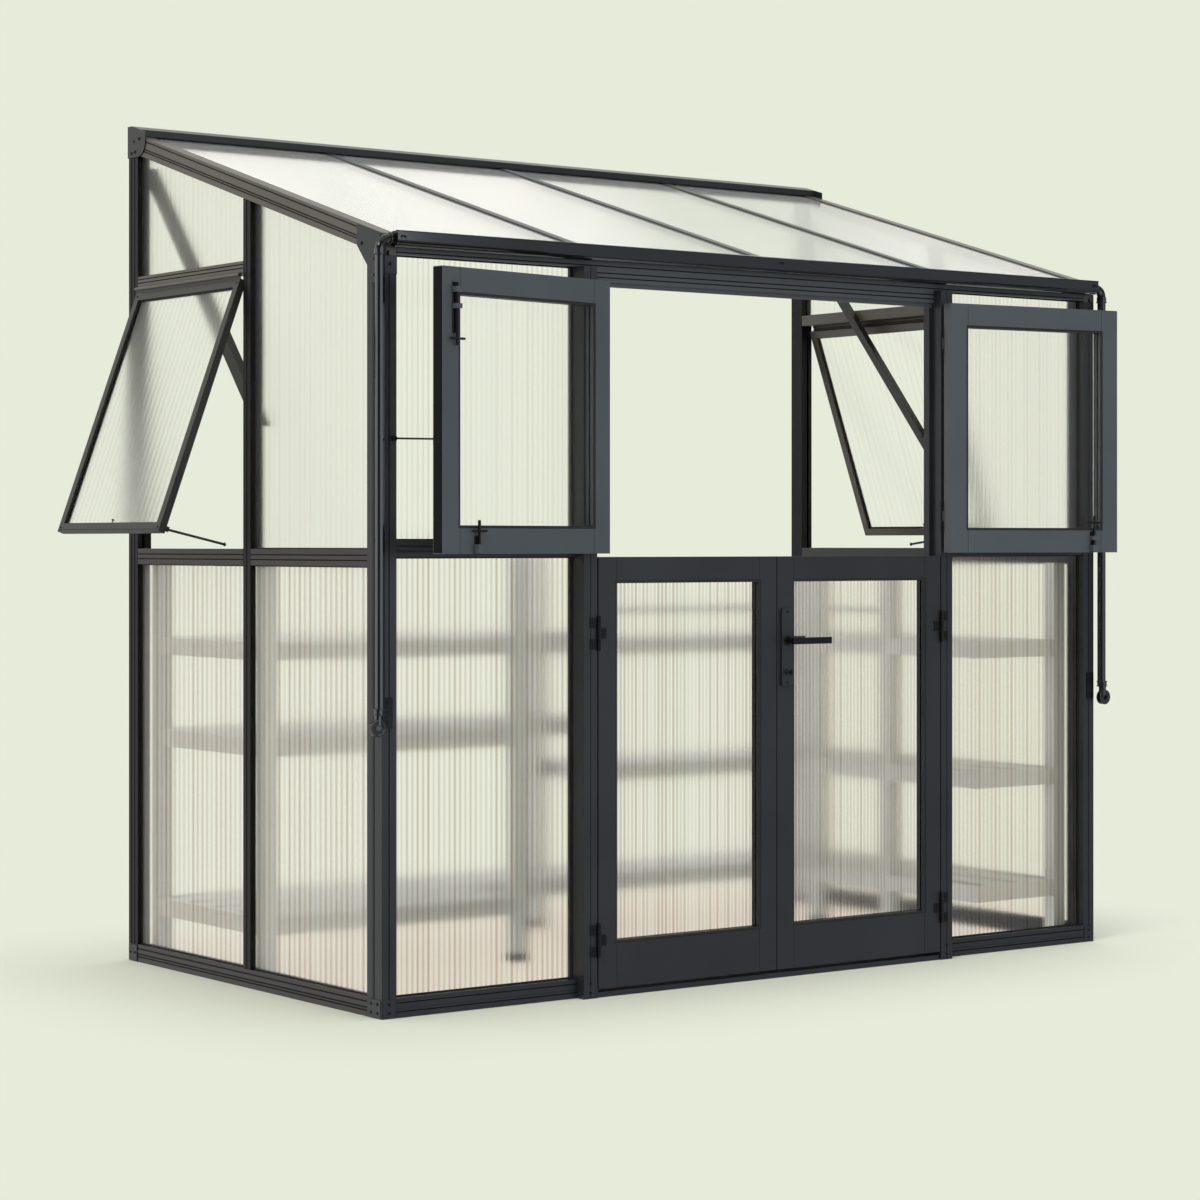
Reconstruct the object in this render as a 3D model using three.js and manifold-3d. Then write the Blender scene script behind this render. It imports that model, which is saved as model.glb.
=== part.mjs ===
// Lean-to greenhouse with stable doors, side windows and a gutter.
// Millimetres, +X along the front, +Y towards the wall, +Z up.
// The origin is under the middle of the front sill.
import * as THREE from 'three';
import { mergeVertices } from 'three/addons/utils/BufferGeometryUtils.js';
import Module from 'manifold-3d';

const wasm = await Module();
wasm.setup();

// House
const LENGTH = 2500;
const DEPTH = 1345;
const EAVE_TOP = 1957;
const ROOF_PITCH = THREE.MathUtils.degToRad(16.5);
const RIDGE_RISE = 12.6;
const RIDGE_HEIGHT = 68;

// Fits and cutting
const FIT = 0.3;
const OVERRUN = 5;
const BITE = 0.8;

// Twin-wall sheet and the slots that hold it
const SHEET = 6;
const SLOT = SHEET + 2 * FIT;
const SLOT_DEPTH = 12;
const FRONT_GLASS = 25;
const GABLE_GLASS = 18;

// Frame bars
const BAR = 43;
const SILL_HEIGHT = 50;
const FRONT_POST_DEPTH = 69;
const BACK_POST_DEPTH = 55;
const MULLION = 40;
const RAIL_BOTTOM = 1126;
const RAIL_HEIGHT = 44;
const HEAD_BOTTOM = 1905;
const HEAD_HEIGHT = 33;
const RAFTER_HEIGHT = 53.7;
const RAFTER_SHEET = 47;
const WALL = 3;
const RIB_WIDTH = 3;
const RIB_DEPTH = 1.5;
const SILL_RIB_SHARES = [0.3, 0.45, 0.75];
const RAIL_RIB_SHARES = [0.35, 0.65];
const HEAD_RIB_SHARES = [0.45, 0.75];
const RAFTER_RIB_SHARES = [0.3, 0.42, 0.82];

// Front wall
const DOOR_CLEAR = 1214;
const JAMB = 43;
const JAMB_PROUD = 30;
const EAVE_BOTTOM = 1905;
const HEADER_BOTTOM = 1869;
const HEADER_DEPTH = 35;
const FRONT_RAIL_BOTTOM = 1149;
const FRONT_RAIL_HEIGHT = 44;
const FRONT_RAIL_DEPTH = 19;
const THRESHOLD_HEIGHT = 20;
const THRESHOLD_NOSE = 24;
const STOP_REACH = 12;
const STOP_THICK = 3;
const STOP_PLACE = 7;

// Roof
const ROOF_BARS = 3;
const ROOF_BAR_WIDTH = 36;
const ROOF_BAR_HEIGHT = 34;
const ROOF_BAR_WEB = 8;
const ROOF_BAR_STEM = 14;
const ROOF_BAR_FLANGE = 5;
const ROOF_OVERHANG = 12;
const HOOD_REACH = 72;
const HOOD_DROP = 14;
const HOOD_FACE = 20;

// Gutter and downpipes
const GUTTER_RADIUS = 20.5;
const GUTTER_WALL = 2.5;
const GUTTER_AXIS_Z = 1941.5;
const GUTTER_GAP = 0.3;
const GUTTER_BEAD = 3;
const PIPE_RADIUS = 12.5;
const PIPE_OUT = 16;
const PIPE_FRONT = 17;
const PIPE_FOOT = 775;
const ELBOW_RADIUS = 26;
const SOCKET_RADIUS = 14.5;
const SOCKET_LENGTH = 16;
const RING_RADIUS = 22;
const RING_HOLE = 7.5;
const RING_THICK = 14;
const RING_DROP = 48;
const RING_OUT = 8;

// Plates at the corners
const PLATE = 3;
const SCREW_RADIUS = 3;
const SCREW_DEPTH = 2;
const CAP_DEPTH = 104;
const CAP_DROP = 90;
const CAP_ROUND = 42;
const BRACKET_REACH = 112;
const BRACKET_WIDTH = 56;
const BRACKET_DROP = 66;
const BRACKET_FRONT = 50;
const BRACKET_SCREW_SHARES = [[0.5, -0.72], [0.5, -0.1], [1.6, 0.55]];
const CAP_SCREW_SHARES = [[0.22, 0.14], [0.42, 0.16], [0.66, 0.55]];
const CAP_HOLE_SHARE = [0.36, 0.5];

// Braces
const BRACE_WIDTH = 42;
const BRACE_LEG = 24;
const BRACE_WALL = 3;
const BRACE_LAP = 16;
const BRACE_TOP_DROP = 64;
const BRACE_FOOT_RISE = 360;

// Door leaves
const LEAF_THICK = 34;
const HINGE_GAP = 4;
const MEET_GAP = 3;
const STILE = 60;
const LOWER_LEAF = { bottom: 24, top: 1149, bottomRail: 121, topRail: 68 };
const UPPER_LEAF = { bottom: 1158, top: 1865, bottomRail: 70, topRail: 67 };
const LEAF_SLOT = 10;
const BEAD_WIDTH = 6;
const BEAD_DEPTH = 3;
const LEFT_OPEN_ANGLE = 169.5;
const RIGHT_OPEN_ANGLE = 173.5;

// Butt hinges
const PIN_OUT = 6;
const PIN_RADIUS = 2.5;
const PIN_PLAY = 0.4;
const KNUCKLE_RADIUS = 4.7;
const KNUCKLE_GAP = 0.6;
const HINGE_LENGTH = 84;
const HINGE_FLAP = 24;
const HINGE_PLATE = 2.4;
const LOWER_HINGES = [150, 950];
const UPPER_HINGES = [1262, 1752];

// Handle
const HANDLE_PLATE = { width: 38, height: 211, thick: 8, middle: 901 };
const LEVER_Z = 919;
const LEVER_RADIUS = 8;
const LEVER_LENGTH = 128;
const LEVER_HEIGHT = 18;
const LEVER_THICK = 9;
const LEVER_STAND = 32;
const SPINDLE_RADIUS = 5;
const SPINDLE_PLAY = 0.6;
const KEY_Z = 833;
const KEY_RADIUS = 8;
const KEY_REACH = 6;

// Barrel bolts and cabin hooks
const BOLT_RADIUS = 4;
const BOLT_PLAY = 0.5;
const BOLT_GUIDE = { width: 20, depth: 16 };
const BOLT_STAND = 8.5;
const BOLT_GRIP = 48;
const BOLT_GRIP_RADIUS = 3;
const LONG_BOLT = { edge: 42, rise: 513, length: 153, gripShare: 0.11, guides: [[604, 616], [644, 658]] };
const LEFT_BOLT = { edge: 118, rise: 3, length: 81, gripShare: 0.67, guides: [[2, 24]] };
const RIGHT_BOLT = { edge: 92, rise: 3, length: 103, gripShare: 0.81, guides: [[2, 22], [36, 48]] };
const BOLT_KEEP = [-25, -7];
const BOLT_HOLE = 16;
const HOOK_RADIUS = 2.5;
const HOOK_Z = 1446;
const HOOK_EYE = 7;
const HOOK_INSET = 26;
const HOOK_FALL = 12;
const STAPLE_HEAD = 4.5;

// Side windows
const WINDOW_GAP = 4;
const WINDOW_LENGTH = 726;
const WINDOW_BAR = 24;
const WINDOW_THICK = 20;
const WINDOW_OPEN_ANGLE = 20;
const BEAD_RADIUS = 4;
const BEAD_OUT = 7;
const BEAD_BELOW = 4;
const BEAD_PLAY = 0.5;
const LIP_WALL = 2.2;
const STAY_RADIUS = 3.5;
const STAY_PIN = 2.5;
const STAY_EYE = 5.5;
const STAY_PEG = 5;
const WINDOW_DROP = 1;
const STAY_LENGTH = 232;
const STAY_SKEW_ANGLE = 22;
const STAY_LEVEL = 14;
const STAY_RATIO = -0.5;

// Shelving inside, one unit against each gable, with a wing along the wall. The right
// unit fills the depth of the house, and its wing runs up to the left unit's.
// Each leg is a pair of shares: inwards from the gable, and out from the wall.
const LEFT_SHELVING = {
  side: -1, width: 852, depth: 628, wing: 477, tops: [183, 661, 919], guard: 0,
  legShares: [[0, 0], [0, 1], [1, 1]], wingShares: [[1, 0]],
};
const RIGHT_SHELVING = {
  side: 1, width: 357, tops: [182, 515, 896], guard: 990,
  legShares: [[0, 0], [0, 1], [1, 0.67], [1, 0.38]], wingShares: [[0, 1], [1, 1]],
};
const SHELVING_BACK = 67;
const SHELVING_FRONT = 11;
const WING_GAP = 7.4;
const WING_DEPTH = 300;
const LEG = 42;
const LEG_RISE = 230;
const SHELF_RAIL = 18;
const SHELF_HEIGHT = 48;
const GUARD_HEIGHT = 18;
const SLAT = 100;
const SLAT_THICK = 14;
const SLAT_GAP = 20;

// Steps of round shapes
const ROUND_STEPS = 12;
const ROD_STEPS = 8;
const ARC_STEPS = 8;

const TAN = Math.tan(ROOF_PITCH);
const COS = Math.cos(ROOF_PITCH);
const BIG = LENGTH + DEPTH;
const RAFTER_DROP = RAFTER_HEIGHT / COS;
const SHEET_DROP = (RAFTER_HEIGHT - RAFTER_SHEET + SLOT / 2) / COS;
const BACK_FACE = DEPTH - BACK_POST_DEPTH;
const MULLION_FRONT = (DEPTH - MULLION) / 2;
const MULLION_BACK = MULLION_FRONT + MULLION;
const HALF = LENGTH / 2;
const BAY_START = BAR - HALF;
const JAMB_IN = DOOR_CLEAR / 2;
const JAMB_OUT = JAMB_IN + JAMB;
const LEAF_WIDTH = (DOOR_CLEAR - 2 * HINGE_GAP - MEET_GAP) / 2;
const PIN_X = JAMB_IN - HINGE_GAP / 2;
const PIN_Y = -JAMB_PROUD - PIN_OUT;

const X = new THREE.Vector3(1, 0, 0);
const Y = new THREE.Vector3(0, 1, 0);
const Z = new THREE.Vector3(0, 0, 1);

const roofTop = (y) => EAVE_TOP + TAN * y;
const RIDGE_TOP = roofTop(DEPTH) + RIDGE_RISE;
const RIDGE_BASE = RIDGE_TOP - RIDGE_HEIGHT;

// Finishes
const charcoal = () => new THREE.MeshStandardMaterial({ color: 0x3b3e42, roughness: 0.5, metalness: 0.3 });
const black = () => new THREE.MeshStandardMaterial({ color: 0x1b1c1e, roughness: 0.45, metalness: 0.1 });
const alloy = () => new THREE.MeshStandardMaterial({ color: 0x7c7e80, roughness: 0.45, metalness: 0.6 });
const sheet = () => new THREE.MeshStandardMaterial({
  color: 0xd9dccb, roughness: 0.25, metalness: 0, transparent: true, opacity: 0.35,
});

// A closed solid from a closed geometry
function solid(geometry) {
  const bare = new THREE.BufferGeometry();
  bare.setAttribute('position', geometry.getAttribute('position'));
  if (geometry.index) bare.setIndex(geometry.index);
  const merged = mergeVertices(bare, 1e-3);
  return new wasm.Manifold(new wasm.Mesh({
    numProp: 3,
    vertProperties: Float32Array.from(merged.attributes.position.array),
    triVerts: Uint32Array.from(merged.index.array),
  }));
}

function geometryOf(body) {
  const mesh = body.getMesh();
  const geometry = new THREE.BufferGeometry();
  geometry.setAttribute('position', new THREE.BufferAttribute(mesh.vertProperties, 3));
  geometry.setIndex(new THREE.BufferAttribute(mesh.triVerts, 1));
  geometry.computeVertexNormals();
  return geometry;
}

function piece(name, body, finish) {
  const mesh = new THREE.Mesh(geometryOf(body), finish());
  mesh.name = name;
  return mesh;
}

function placed(name, body, finish, x, y, z) {
  const mesh = piece(name, body, finish);
  mesh.position.set(x, y, z);
  return mesh;
}

// The same solid seen in a mirror across X = 0
function mirrored(body) {
  const mesh = body.getMesh();
  const points = Float32Array.from(mesh.vertProperties, (value, index) => (index % 3 ? value : -value));
  const turned = Uint32Array.from(mesh.triVerts);
  for (let i = 0; i < turned.length; i += 3) [turned[i + 1], turned[i + 2]] = [turned[i + 2], turned[i + 1]];
  return new wasm.Manifold(new wasm.Mesh({ numProp: 3, vertProperties: points, triVerts: turned }));
}

function outline(points) {
  return new THREE.Shape(points.map(([x, y]) => new THREE.Vector2(x, y)));
}

// An outline pushed along u x v, with its own x along u and its own y along v
function extruded(shape, length, u, v, x, y, z) {
  const geometry = new THREE.ExtrudeGeometry(shape, {
    depth: length, bevelEnabled: false, curveSegments: ARC_STEPS,
  });
  const w = new THREE.Vector3().crossVectors(u, v);
  geometry.applyMatrix4(new THREE.Matrix4().makeBasis(u, v, w).setPosition(x, y, z));
  return solid(geometry);
}

const upright = (shape, x, y, low, high) => extruded(shape, high - low, X, Y, x, y, low);
const alongX = (shape, y, z, from, to) => extruded(shape, to - from, Y, Z, from, y, z);
const alongY = (shape, x, z, from, to) => extruded(shape, to - from, X, Z, x, to, z);

// A bar up the roof slope: u across the bar, v away from the roof, placed by its line at y = 0
function alongSlope(shape, x, zAtFront, from, to) {
  const normal = new THREE.Vector3(0, -Math.sin(ROOF_PITCH), Math.cos(ROOF_PITCH));
  return extruded(shape, (to - from) / COS, X, normal, x, to, zAtFront + TAN * to);
}

function block(x0, x1, y0, y1, z0, z1) {
  const geometry = new THREE.BoxGeometry(x1 - x0, y1 - y0, z1 - z0);
  geometry.translate((x0 + x1) / 2, (y0 + y1) / 2, (z0 + z1) / 2);
  return solid(geometry);
}

// A round bar from one point, along a direction
function rod(radius, length, x, y, z, direction, steps = ROUND_STEPS) {
  const geometry = new THREE.CylinderGeometry(radius, radius, length, steps);
  geometry.translate(0, length / 2, 0);
  geometry.applyQuaternion(new THREE.Quaternion().setFromUnitVectors(Y, direction.clone().normalize()));
  geometry.translate(x, y, z);
  return solid(geometry);
}

// All the room above or below a line that follows the roof
function aboveRoof(offset) {
  const low = roofTop(-BIG) + offset;
  const high = roofTop(BIG) + offset;
  return alongX(outline([[-BIG, low], [BIG, high], [BIG, high + BIG], [-BIG, high + BIG]]), 0, 0, -BIG, BIG);
}

// A bar section with notches, each one [side, centre, mouth, depth], and a hollow chamber
function section(width, height, notches = [], chamber = null) {
  const on = (side) => notches.filter((notch) => notch[0] === side).sort((a, b) => a[1] - b[1]);
  const points = [[0, 0]];
  for (const [, c, m, d] of on('bottom')) {
    points.push([c - m / 2, 0], [c - m / 2, d], [c + m / 2, d], [c + m / 2, 0]);
  }
  points.push([width, 0]);
  for (const [, c, m, d] of on('right')) {
    points.push([width, c - m / 2], [width - d, c - m / 2], [width - d, c + m / 2], [width, c + m / 2]);
  }
  points.push([width, height]);
  for (const [, c, m, d] of on('top').reverse()) {
    points.push([c + m / 2, height], [c + m / 2, height - d], [c - m / 2, height - d], [c - m / 2, height]);
  }
  points.push([0, height]);
  for (const [, c, m, d] of on('left').reverse()) {
    points.push([0, c + m / 2], [d, c + m / 2], [d, c - m / 2], [0, c - m / 2]);
  }
  const shape = outline(points);
  if (chamber) {
    const [x0, x1, y0, y1] = chamber;
    shape.holes.push(new THREE.Path([[x0, y0], [x0, y1], [x1, y1], [x1, y0]]
      .map(([x, y]) => new THREE.Vector2(x, y))));
  }
  return shape;
}

const rib = (side, centre) => [side, centre, RIB_WIDTH, RIB_DEPTH];
const ribs = (height, shares) => shares.map((share) => rib('left', height * share));
const glassSlot = (side, centre) => [side, centre, SLOT, SLOT_DEPTH];

// Shallow round sinkings where screws sit, in a plate that faces -X or -Y
function screws(places, radius, depth, direction) {
  return places.map(([x, y, z]) => rod(radius, depth + OVERRUN, x, y, z, direction, ROD_STEPS));
}

const cut = (body, ...tools) => tools.reduce((rest, tool) => rest.subtract(tool), body);
const join = (body, ...more) => more.reduce((whole, part) => whole.add(part), body);

// Gable pieces are drawn with x inwards from the gable's outer face.
const gablePieces = {};

// Front corner post with its eave bracket
{
  const shape = section(BAR, FRONT_POST_DEPTH, [
    glassSlot('right', FRONT_GLASS),
    glassSlot('top', GABLE_GLASS),
    rib('left', FRONT_POST_DEPTH / 2),
    rib('left', FRONT_POST_DEPTH / 2 + 2 * RIB_WIDTH),
    rib('bottom', BAR / 2),
  ], [WALL + RIB_WIDTH, BAR - WALL, FRONT_GLASS + 2 * RIB_WIDTH + WALL, FRONT_POST_DEPTH - SLOT_DEPTH - WALL]);
  const post = cut(upright(shape, 0, 0, 0, roofTop(BAR)), aboveRoof(-RAFTER_DROP - FIT));
  const top = roofTop(0) - RAFTER_DROP;
  const armTop = roofTop(BRACKET_REACH) - WALL;
  const bracketOutline = outline([
    [WALL, top - BRACKET_DROP],
    [BRACKET_WIDTH - WALL, top - BRACKET_DROP],
    [BRACKET_WIDTH, top - BRACKET_DROP + 2 * WALL],
    [BRACKET_WIDTH + 2 * WALL, top - BRACKET_DROP / 3],
    [BRACKET_REACH, armTop - BRACKET_WIDTH + WALL],
    [BRACKET_REACH, armTop],
    [WALL, roofTop(WALL) - WALL],
  ]);
  const bracket = alongX(bracketOutline, 0, 0, -PLATE - FIT, -FIT);
  const seat = block(-FIT - BITE, BITE, WALL + BITE, BRACKET_WIDTH - WALL - BITE, top - BRACKET_DROP + BITE, top - BITE);
  const front = block(WALL, BAR, -PLATE, BITE, EAVE_BOTTOM - BRACKET_FRONT, top - FIT);
  const side = screws(BRACKET_SCREW_SHARES.map(([across, up]) => [
    -PLATE - FIT - OVERRUN, BRACKET_WIDTH * across, top + BRACKET_DROP * up,
  ]), SCREW_RADIUS, SCREW_DEPTH, X);
  const face = screws([[BAR / 2, -PLATE - OVERRUN, EAVE_BOTTOM - BRACKET_FRONT / 2]], SCREW_RADIUS, SCREW_DEPTH, Y);
  gablePieces.front_post = cut(join(post, bracket, seat, front), ...side, ...face);
}

// Back post against the wall
gablePieces.back_post = upright(section(BAR, BACK_POST_DEPTH, [
  glassSlot('bottom', GABLE_GLASS),
  rib('left', BACK_POST_DEPTH / 3),
  rib('left', BACK_POST_DEPTH * 2 / 3),
], [WALL + RIB_DEPTH, BAR - WALL, SLOT_DEPTH + WALL, BACK_POST_DEPTH - WALL]), 0, BACK_FACE, 0, RIDGE_BASE - FIT);

const gableStart = FRONT_POST_DEPTH + FIT;
const gableEnd = BACK_FACE - FIT;

// Gable sill
gablePieces.gable_sill = alongY(section(BAR, SILL_HEIGHT, [
  glassSlot('top', GABLE_GLASS),
  ...ribs(SILL_HEIGHT, SILL_RIB_SHARES),
]), 0, 0, gableStart, gableEnd);

// Gable mid rail, halved where the mullion crosses it
const halving = GABLE_GLASS + SLOT / 2;
gablePieces.gable_mid_rail = cut(
  alongY(section(BAR, RAIL_HEIGHT, [
    glassSlot('bottom', GABLE_GLASS),
    glassSlot('top', GABLE_GLASS),
    ...ribs(RAIL_HEIGHT, RAIL_RIB_SHARES),
  ]), 0, RAIL_BOTTOM, gableStart, gableEnd),
  block(-OVERRUN, halving + FIT, MULLION_FRONT - FIT, MULLION_BACK + FIT, 0, RIDGE_BASE),
);

// Mullion: a full bar above the rail, and a cover bar outside the one lower sheet
{
  const shape = section(BAR, MULLION, [
    glassSlot('bottom', GABLE_GLASS),
    glassSlot('top', GABLE_GLASS),
    rib('left', MULLION / 2),
  ]);
  const foot = SILL_HEIGHT + FIT;
  const railTop = RAIL_BOTTOM + RAIL_HEIGHT;
  const room = (from, low, high) => block(
    from, BAR + OVERRUN, MULLION_FRONT - OVERRUN, MULLION_BACK + OVERRUN, low, high,
  );
  gablePieces.gable_mullion = cut(
    upright(shape, 0, MULLION_FRONT, foot, roofTop(MULLION_BACK)),
    aboveRoof(-RAFTER_DROP - FIT),
    room(GABLE_GLASS - SLOT / 2, 0, RAIL_BOTTOM + SLOT_DEPTH),
    room(halving, RAIL_BOTTOM, railTop + FIT),
  );
}

// Head rail above the window, with the hooked lip that the window's bead hangs in
const BEAD_X = -BEAD_OUT;
const BEAD_Z = HEAD_BOTTOM - BEAD_BELOW;
function ringSector(inner, outer, start, end, cx, cy) {
  const shape = new THREE.Shape();
  shape.absarc(cx, cy, outer, start, end, false);
  shape.absarc(cx, cy, inner, end, start, true);
  return shape;
}
{
  const rail = alongY(section(BAR, HEAD_HEIGHT, [
    glassSlot('top', GABLE_GLASS),
    ...ribs(HEAD_HEIGHT, HEAD_RIB_SHARES),
  ]), 0, HEAD_BOTTOM, MULLION_BACK + FIT, gableEnd);
  const inner = BEAD_RADIUS + BEAD_PLAY;
  const lipShape = ringSector(inner, inner + LIP_WALL, -Math.PI / 12, Math.PI * 1.05, BEAD_X, BEAD_Z);
  const lip = alongY(lipShape, 0, 0, MULLION_BACK + WINDOW_GAP, gableEnd - WINDOW_GAP);
  const web = block(
    BEAD_X, BITE, MULLION_BACK + WINDOW_GAP, gableEnd - WINDOW_GAP, BEAD_Z + inner + BITE / 2, BEAD_Z + inner + LIP_WALL,
  );
  gablePieces.window_head = join(rail, lip, web);
}

// Rafter over the gable, with a slot for the roof sheet and one for the gable sheets
gablePieces.gable_rafter = cut(
  alongSlope(section(BAR, RAFTER_HEIGHT, [
    glassSlot('bottom', GABLE_GLASS),
    ['right', RAFTER_SHEET, SLOT, BAR - GABLE_GLASS],
    ...ribs(RAFTER_HEIGHT, RAFTER_RIB_SHARES),
  ]), 0, EAVE_TOP - RAFTER_DROP, -BAR, DEPTH),
  block(-BIG, BIG, -BIG, 0, 0, BIG),
  block(-BIG, BIG, gableEnd, BIG, 0, BIG),
);

// Angle brace inside the back half of the gable
{
  const foot = new THREE.Vector3(0, (MULLION_FRONT + MULLION_BACK) / 2, RAIL_BOTTOM + BRACE_FOOT_RISE);
  const top = new THREE.Vector3(0, BACK_FACE + BRACE_LAP, RIDGE_BASE - BRACE_TOP_DROP);
  const run = top.clone().sub(foot);
  const along = run.clone().normalize();
  const across = new THREE.Vector3().crossVectors(along, X);
  const shape = outline([
    [0, 0], [BRACE_LEG, 0], [BRACE_LEG, BRACE_WALL], [BRACE_WALL, BRACE_WALL], [BRACE_WALL, BRACE_WIDTH], [0, BRACE_WIDTH],
  ]);
  const start = foot.clone().addScaledVector(across, -BRACE_WIDTH / 2);
  gablePieces.gable_brace = extruded(shape, run.length(), X, across, BAR + FIT, start.y, start.z);
}

// Twin-wall sheets of the gable
const sheetGable = [GABLE_GLASS - SHEET / 2, GABLE_GLASS + SHEET / 2];
const intoSlot = SLOT_DEPTH - FIT;
gablePieces.lower_gable_panel = block(
  ...sheetGable, FRONT_POST_DEPTH - intoSlot, BACK_FACE + intoSlot, SILL_HEIGHT - intoSlot, RAIL_BOTTOM + intoSlot,
);
gablePieces.upper_front_gable_panel = cut(
  block(
    ...sheetGable, FRONT_POST_DEPTH - intoSlot, MULLION_FRONT + intoSlot, RAIL_BOTTOM + RAIL_HEIGHT - intoSlot, RIDGE_TOP,
  ),
  aboveRoof(-RAFTER_DROP + intoSlot),
);
gablePieces.upper_back_gable_panel = cut(
  block(
    ...sheetGable, MULLION_BACK - intoSlot, BACK_FACE + intoSlot, HEAD_BOTTOM + HEAD_HEIGHT - intoSlot, RIDGE_TOP,
  ),
  aboveRoof(-RAFTER_DROP + intoSlot),
);

const FINISH_OF = {
  lower_gable_panel: sheet, upper_front_gable_panel: sheet, upper_back_gable_panel: sheet,
};

// The left front post also carries the pivot of the cabin hook
const hookX = (HOOK_INSET + BAR) / 2;
const hookPivot = [
  block(hookX - HOOK_RADIUS - FIT - WALL, hookX - HOOK_RADIUS - FIT, -HOOK_EYE - WALL, BITE, HOOK_Z - HOOK_EYE, HOOK_Z + HOOK_EYE),
  rod(HOOK_RADIUS, 2 * HOOK_RADIUS + 2 * FIT + BITE, hookX - HOOK_RADIUS - FIT - BITE, -HOOK_EYE, HOOK_Z, X),
];

function gable(side) {
  const group = new THREE.Group();
  for (const [name, body] of Object.entries(gablePieces)) {
    let shown = side === 'left' ? body : mirrored(body);
    if (side === 'left' && name === 'front_post') shown = join(shown, ...hookPivot);
    group.add(piece(`${side}_${name}`, shown, FINISH_OF[name] ?? charcoal));
  }
  group.position.x = side === 'left' ? -HALF : HALF;
  return group;
}

// Top-hung window, drawn shut, with the hinge bead at its own origin
function windowGroup(side) {
  const flip = side === 'left' ? (body) => body : mirrored;
  const sign = side === 'left' ? 1 : -1;
  const width = BACK_FACE - MULLION_BACK - 2 * WINDOW_GAP;
  const drop = BEAD_RADIUS + BEAD_PLAY + LIP_WALL + WINDOW_DROP;
  const outer = BEAD_OUT - WALL;
  const inner = outer + WINDOW_THICK;
  const low = -WINDOW_LENGTH;
  let frame = block(outer, inner, 0, width, low, -drop);
  frame = cut(
    frame,
    block(-BIG, BIG, WINDOW_BAR, width - WINDOW_BAR, low + WINDOW_BAR, -drop - WINDOW_BAR),
    block(
      outer + WINDOW_THICK / 2 - SLOT / 2, outer + WINDOW_THICK / 2 + SLOT / 2,
      WINDOW_BAR - LEAF_SLOT, width - WINDOW_BAR + LEAF_SLOT, low + WINDOW_BAR - LEAF_SLOT, -drop - WINDOW_BAR + LEAF_SLOT,
    ),
    block(-BIG, outer + BEAD_DEPTH / 2, WALL, width - WALL, low + WALL, low + WALL + BEAD_DEPTH),
  );
  const bead = rod(BEAD_RADIUS, width - 2 * FIT, 0, FIT, 0, Y);
  const web = alongY(outline([
    [-WALL / 2, 0], [WALL / 2, 0], [outer + WALL, -drop + BITE], [outer + WALL, -drop - BITE], [outer, -drop - BITE],
  ]), 0, 0, FIT, width - FIT);
  const pivotX = inner + STAY_RADIUS * 2;
  const pivotZ = low + STAY_LEVEL;
  const lug = block(inner - BITE, pivotX + STAY_RADIUS, WALL, WALL + PLATE, pivotZ - 2 * STAY_RADIUS, pivotZ + 2 * STAY_RADIUS);
  const pin = rod(STAY_PIN, 4 * STAY_RADIUS, pivotX, WALL + PLATE - BITE, pivotZ, Y);
  const window = piece(`${side}_window_frame`, flip(join(frame, bead, web, lug, pin)), charcoal);
  const pane = LEAF_SLOT - FIT;
  const glass = block(
    outer + (WINDOW_THICK - SHEET) / 2, outer + (WINDOW_THICK + SHEET) / 2,
    WINDOW_BAR - pane, width - WINDOW_BAR + pane, low + WINDOW_BAR - pane, -drop - WINDOW_BAR + pane,
  );
  const panel = piece(`${side}_window_panel`, flip(glass), sheet);

  // The stay is drawn level, as it lies when the window is shut
  const eyeStart = PLATE + STAY_RADIUS / 2;
  const eye = cut(
    rod(STAY_EYE, 2 * STAY_RADIUS, 0, eyeStart, 0, Y),
    rod(STAY_PIN + PIN_PLAY, 4 * STAY_RADIUS, 0, 0, 0, Y),
  );
  const skew = THREE.MathUtils.degToRad(STAY_SKEW_ANGLE);
  const away = new THREE.Vector3(Math.cos(skew), Math.sin(skew), 0);
  const reach = (STAY_LENGTH - STAY_RADIUS) / Math.cos(skew);
  const arm = rod(STAY_RADIUS, reach, STAY_RADIUS * away.x, eyeStart + STAY_RADIUS, 0, away, ROD_STEPS);
  const peg = rod(STAY_PIN, 2 * STAY_PEG, reach * away.x, eyeStart + STAY_RADIUS + (reach - STAY_RADIUS) * away.y,
    -STAY_PEG, Z, ROD_STEPS);
  const keyhole = rod(STAY_PIN + PIN_PLAY, 6 * STAY_RADIUS, 0, -OVERRUN, 0, Y);
  const stay = piece(`${side}_window_stay`, flip(cut(join(eye, arm, peg), keyhole)), charcoal);
  const stayGroup = new THREE.Group();
  stayGroup.add(stay);
  stayGroup.position.set(sign * pivotX, WALL, pivotZ);
  stayGroup.rotation.y = sign * THREE.MathUtils.degToRad(WINDOW_OPEN_ANGLE * STAY_RATIO);

  const group = new THREE.Group();
  group.add(window, panel, stayGroup);
  group.position.set(sign * (BEAD_X - HALF), MULLION_BACK + WINDOW_GAP, BEAD_Z);
  group.rotation.y = sign * THREE.MathUtils.degToRad(WINDOW_OPEN_ANGLE);
  return group;
}

// Front sill and threshold in one, lowered at the doorway
const sillShape = section(BAR, SILL_HEIGHT, [
  glassSlot('top', FRONT_GLASS),
  ...ribs(SILL_HEIGHT, SILL_RIB_SHARES),
]);
const frontSill = join(
  cut(
    alongX(sillShape, 0, 0, BAY_START + FIT, -BAY_START - FIT),
    block(-JAMB_IN, JAMB_IN, -OVERRUN, BAR + OVERRUN, THRESHOLD_HEIGHT, SILL_HEIGHT + OVERRUN),
  ),
  alongX(outline([
    [BITE, 0], [BITE, THRESHOLD_HEIGHT], [-THRESHOLD_NOSE, THRESHOLD_HEIGHT - 2 * WALL], [-THRESHOLD_NOSE, 0],
  ]), 0, 0, FIT - JAMB_IN, JAMB_IN - FIT),
);

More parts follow.
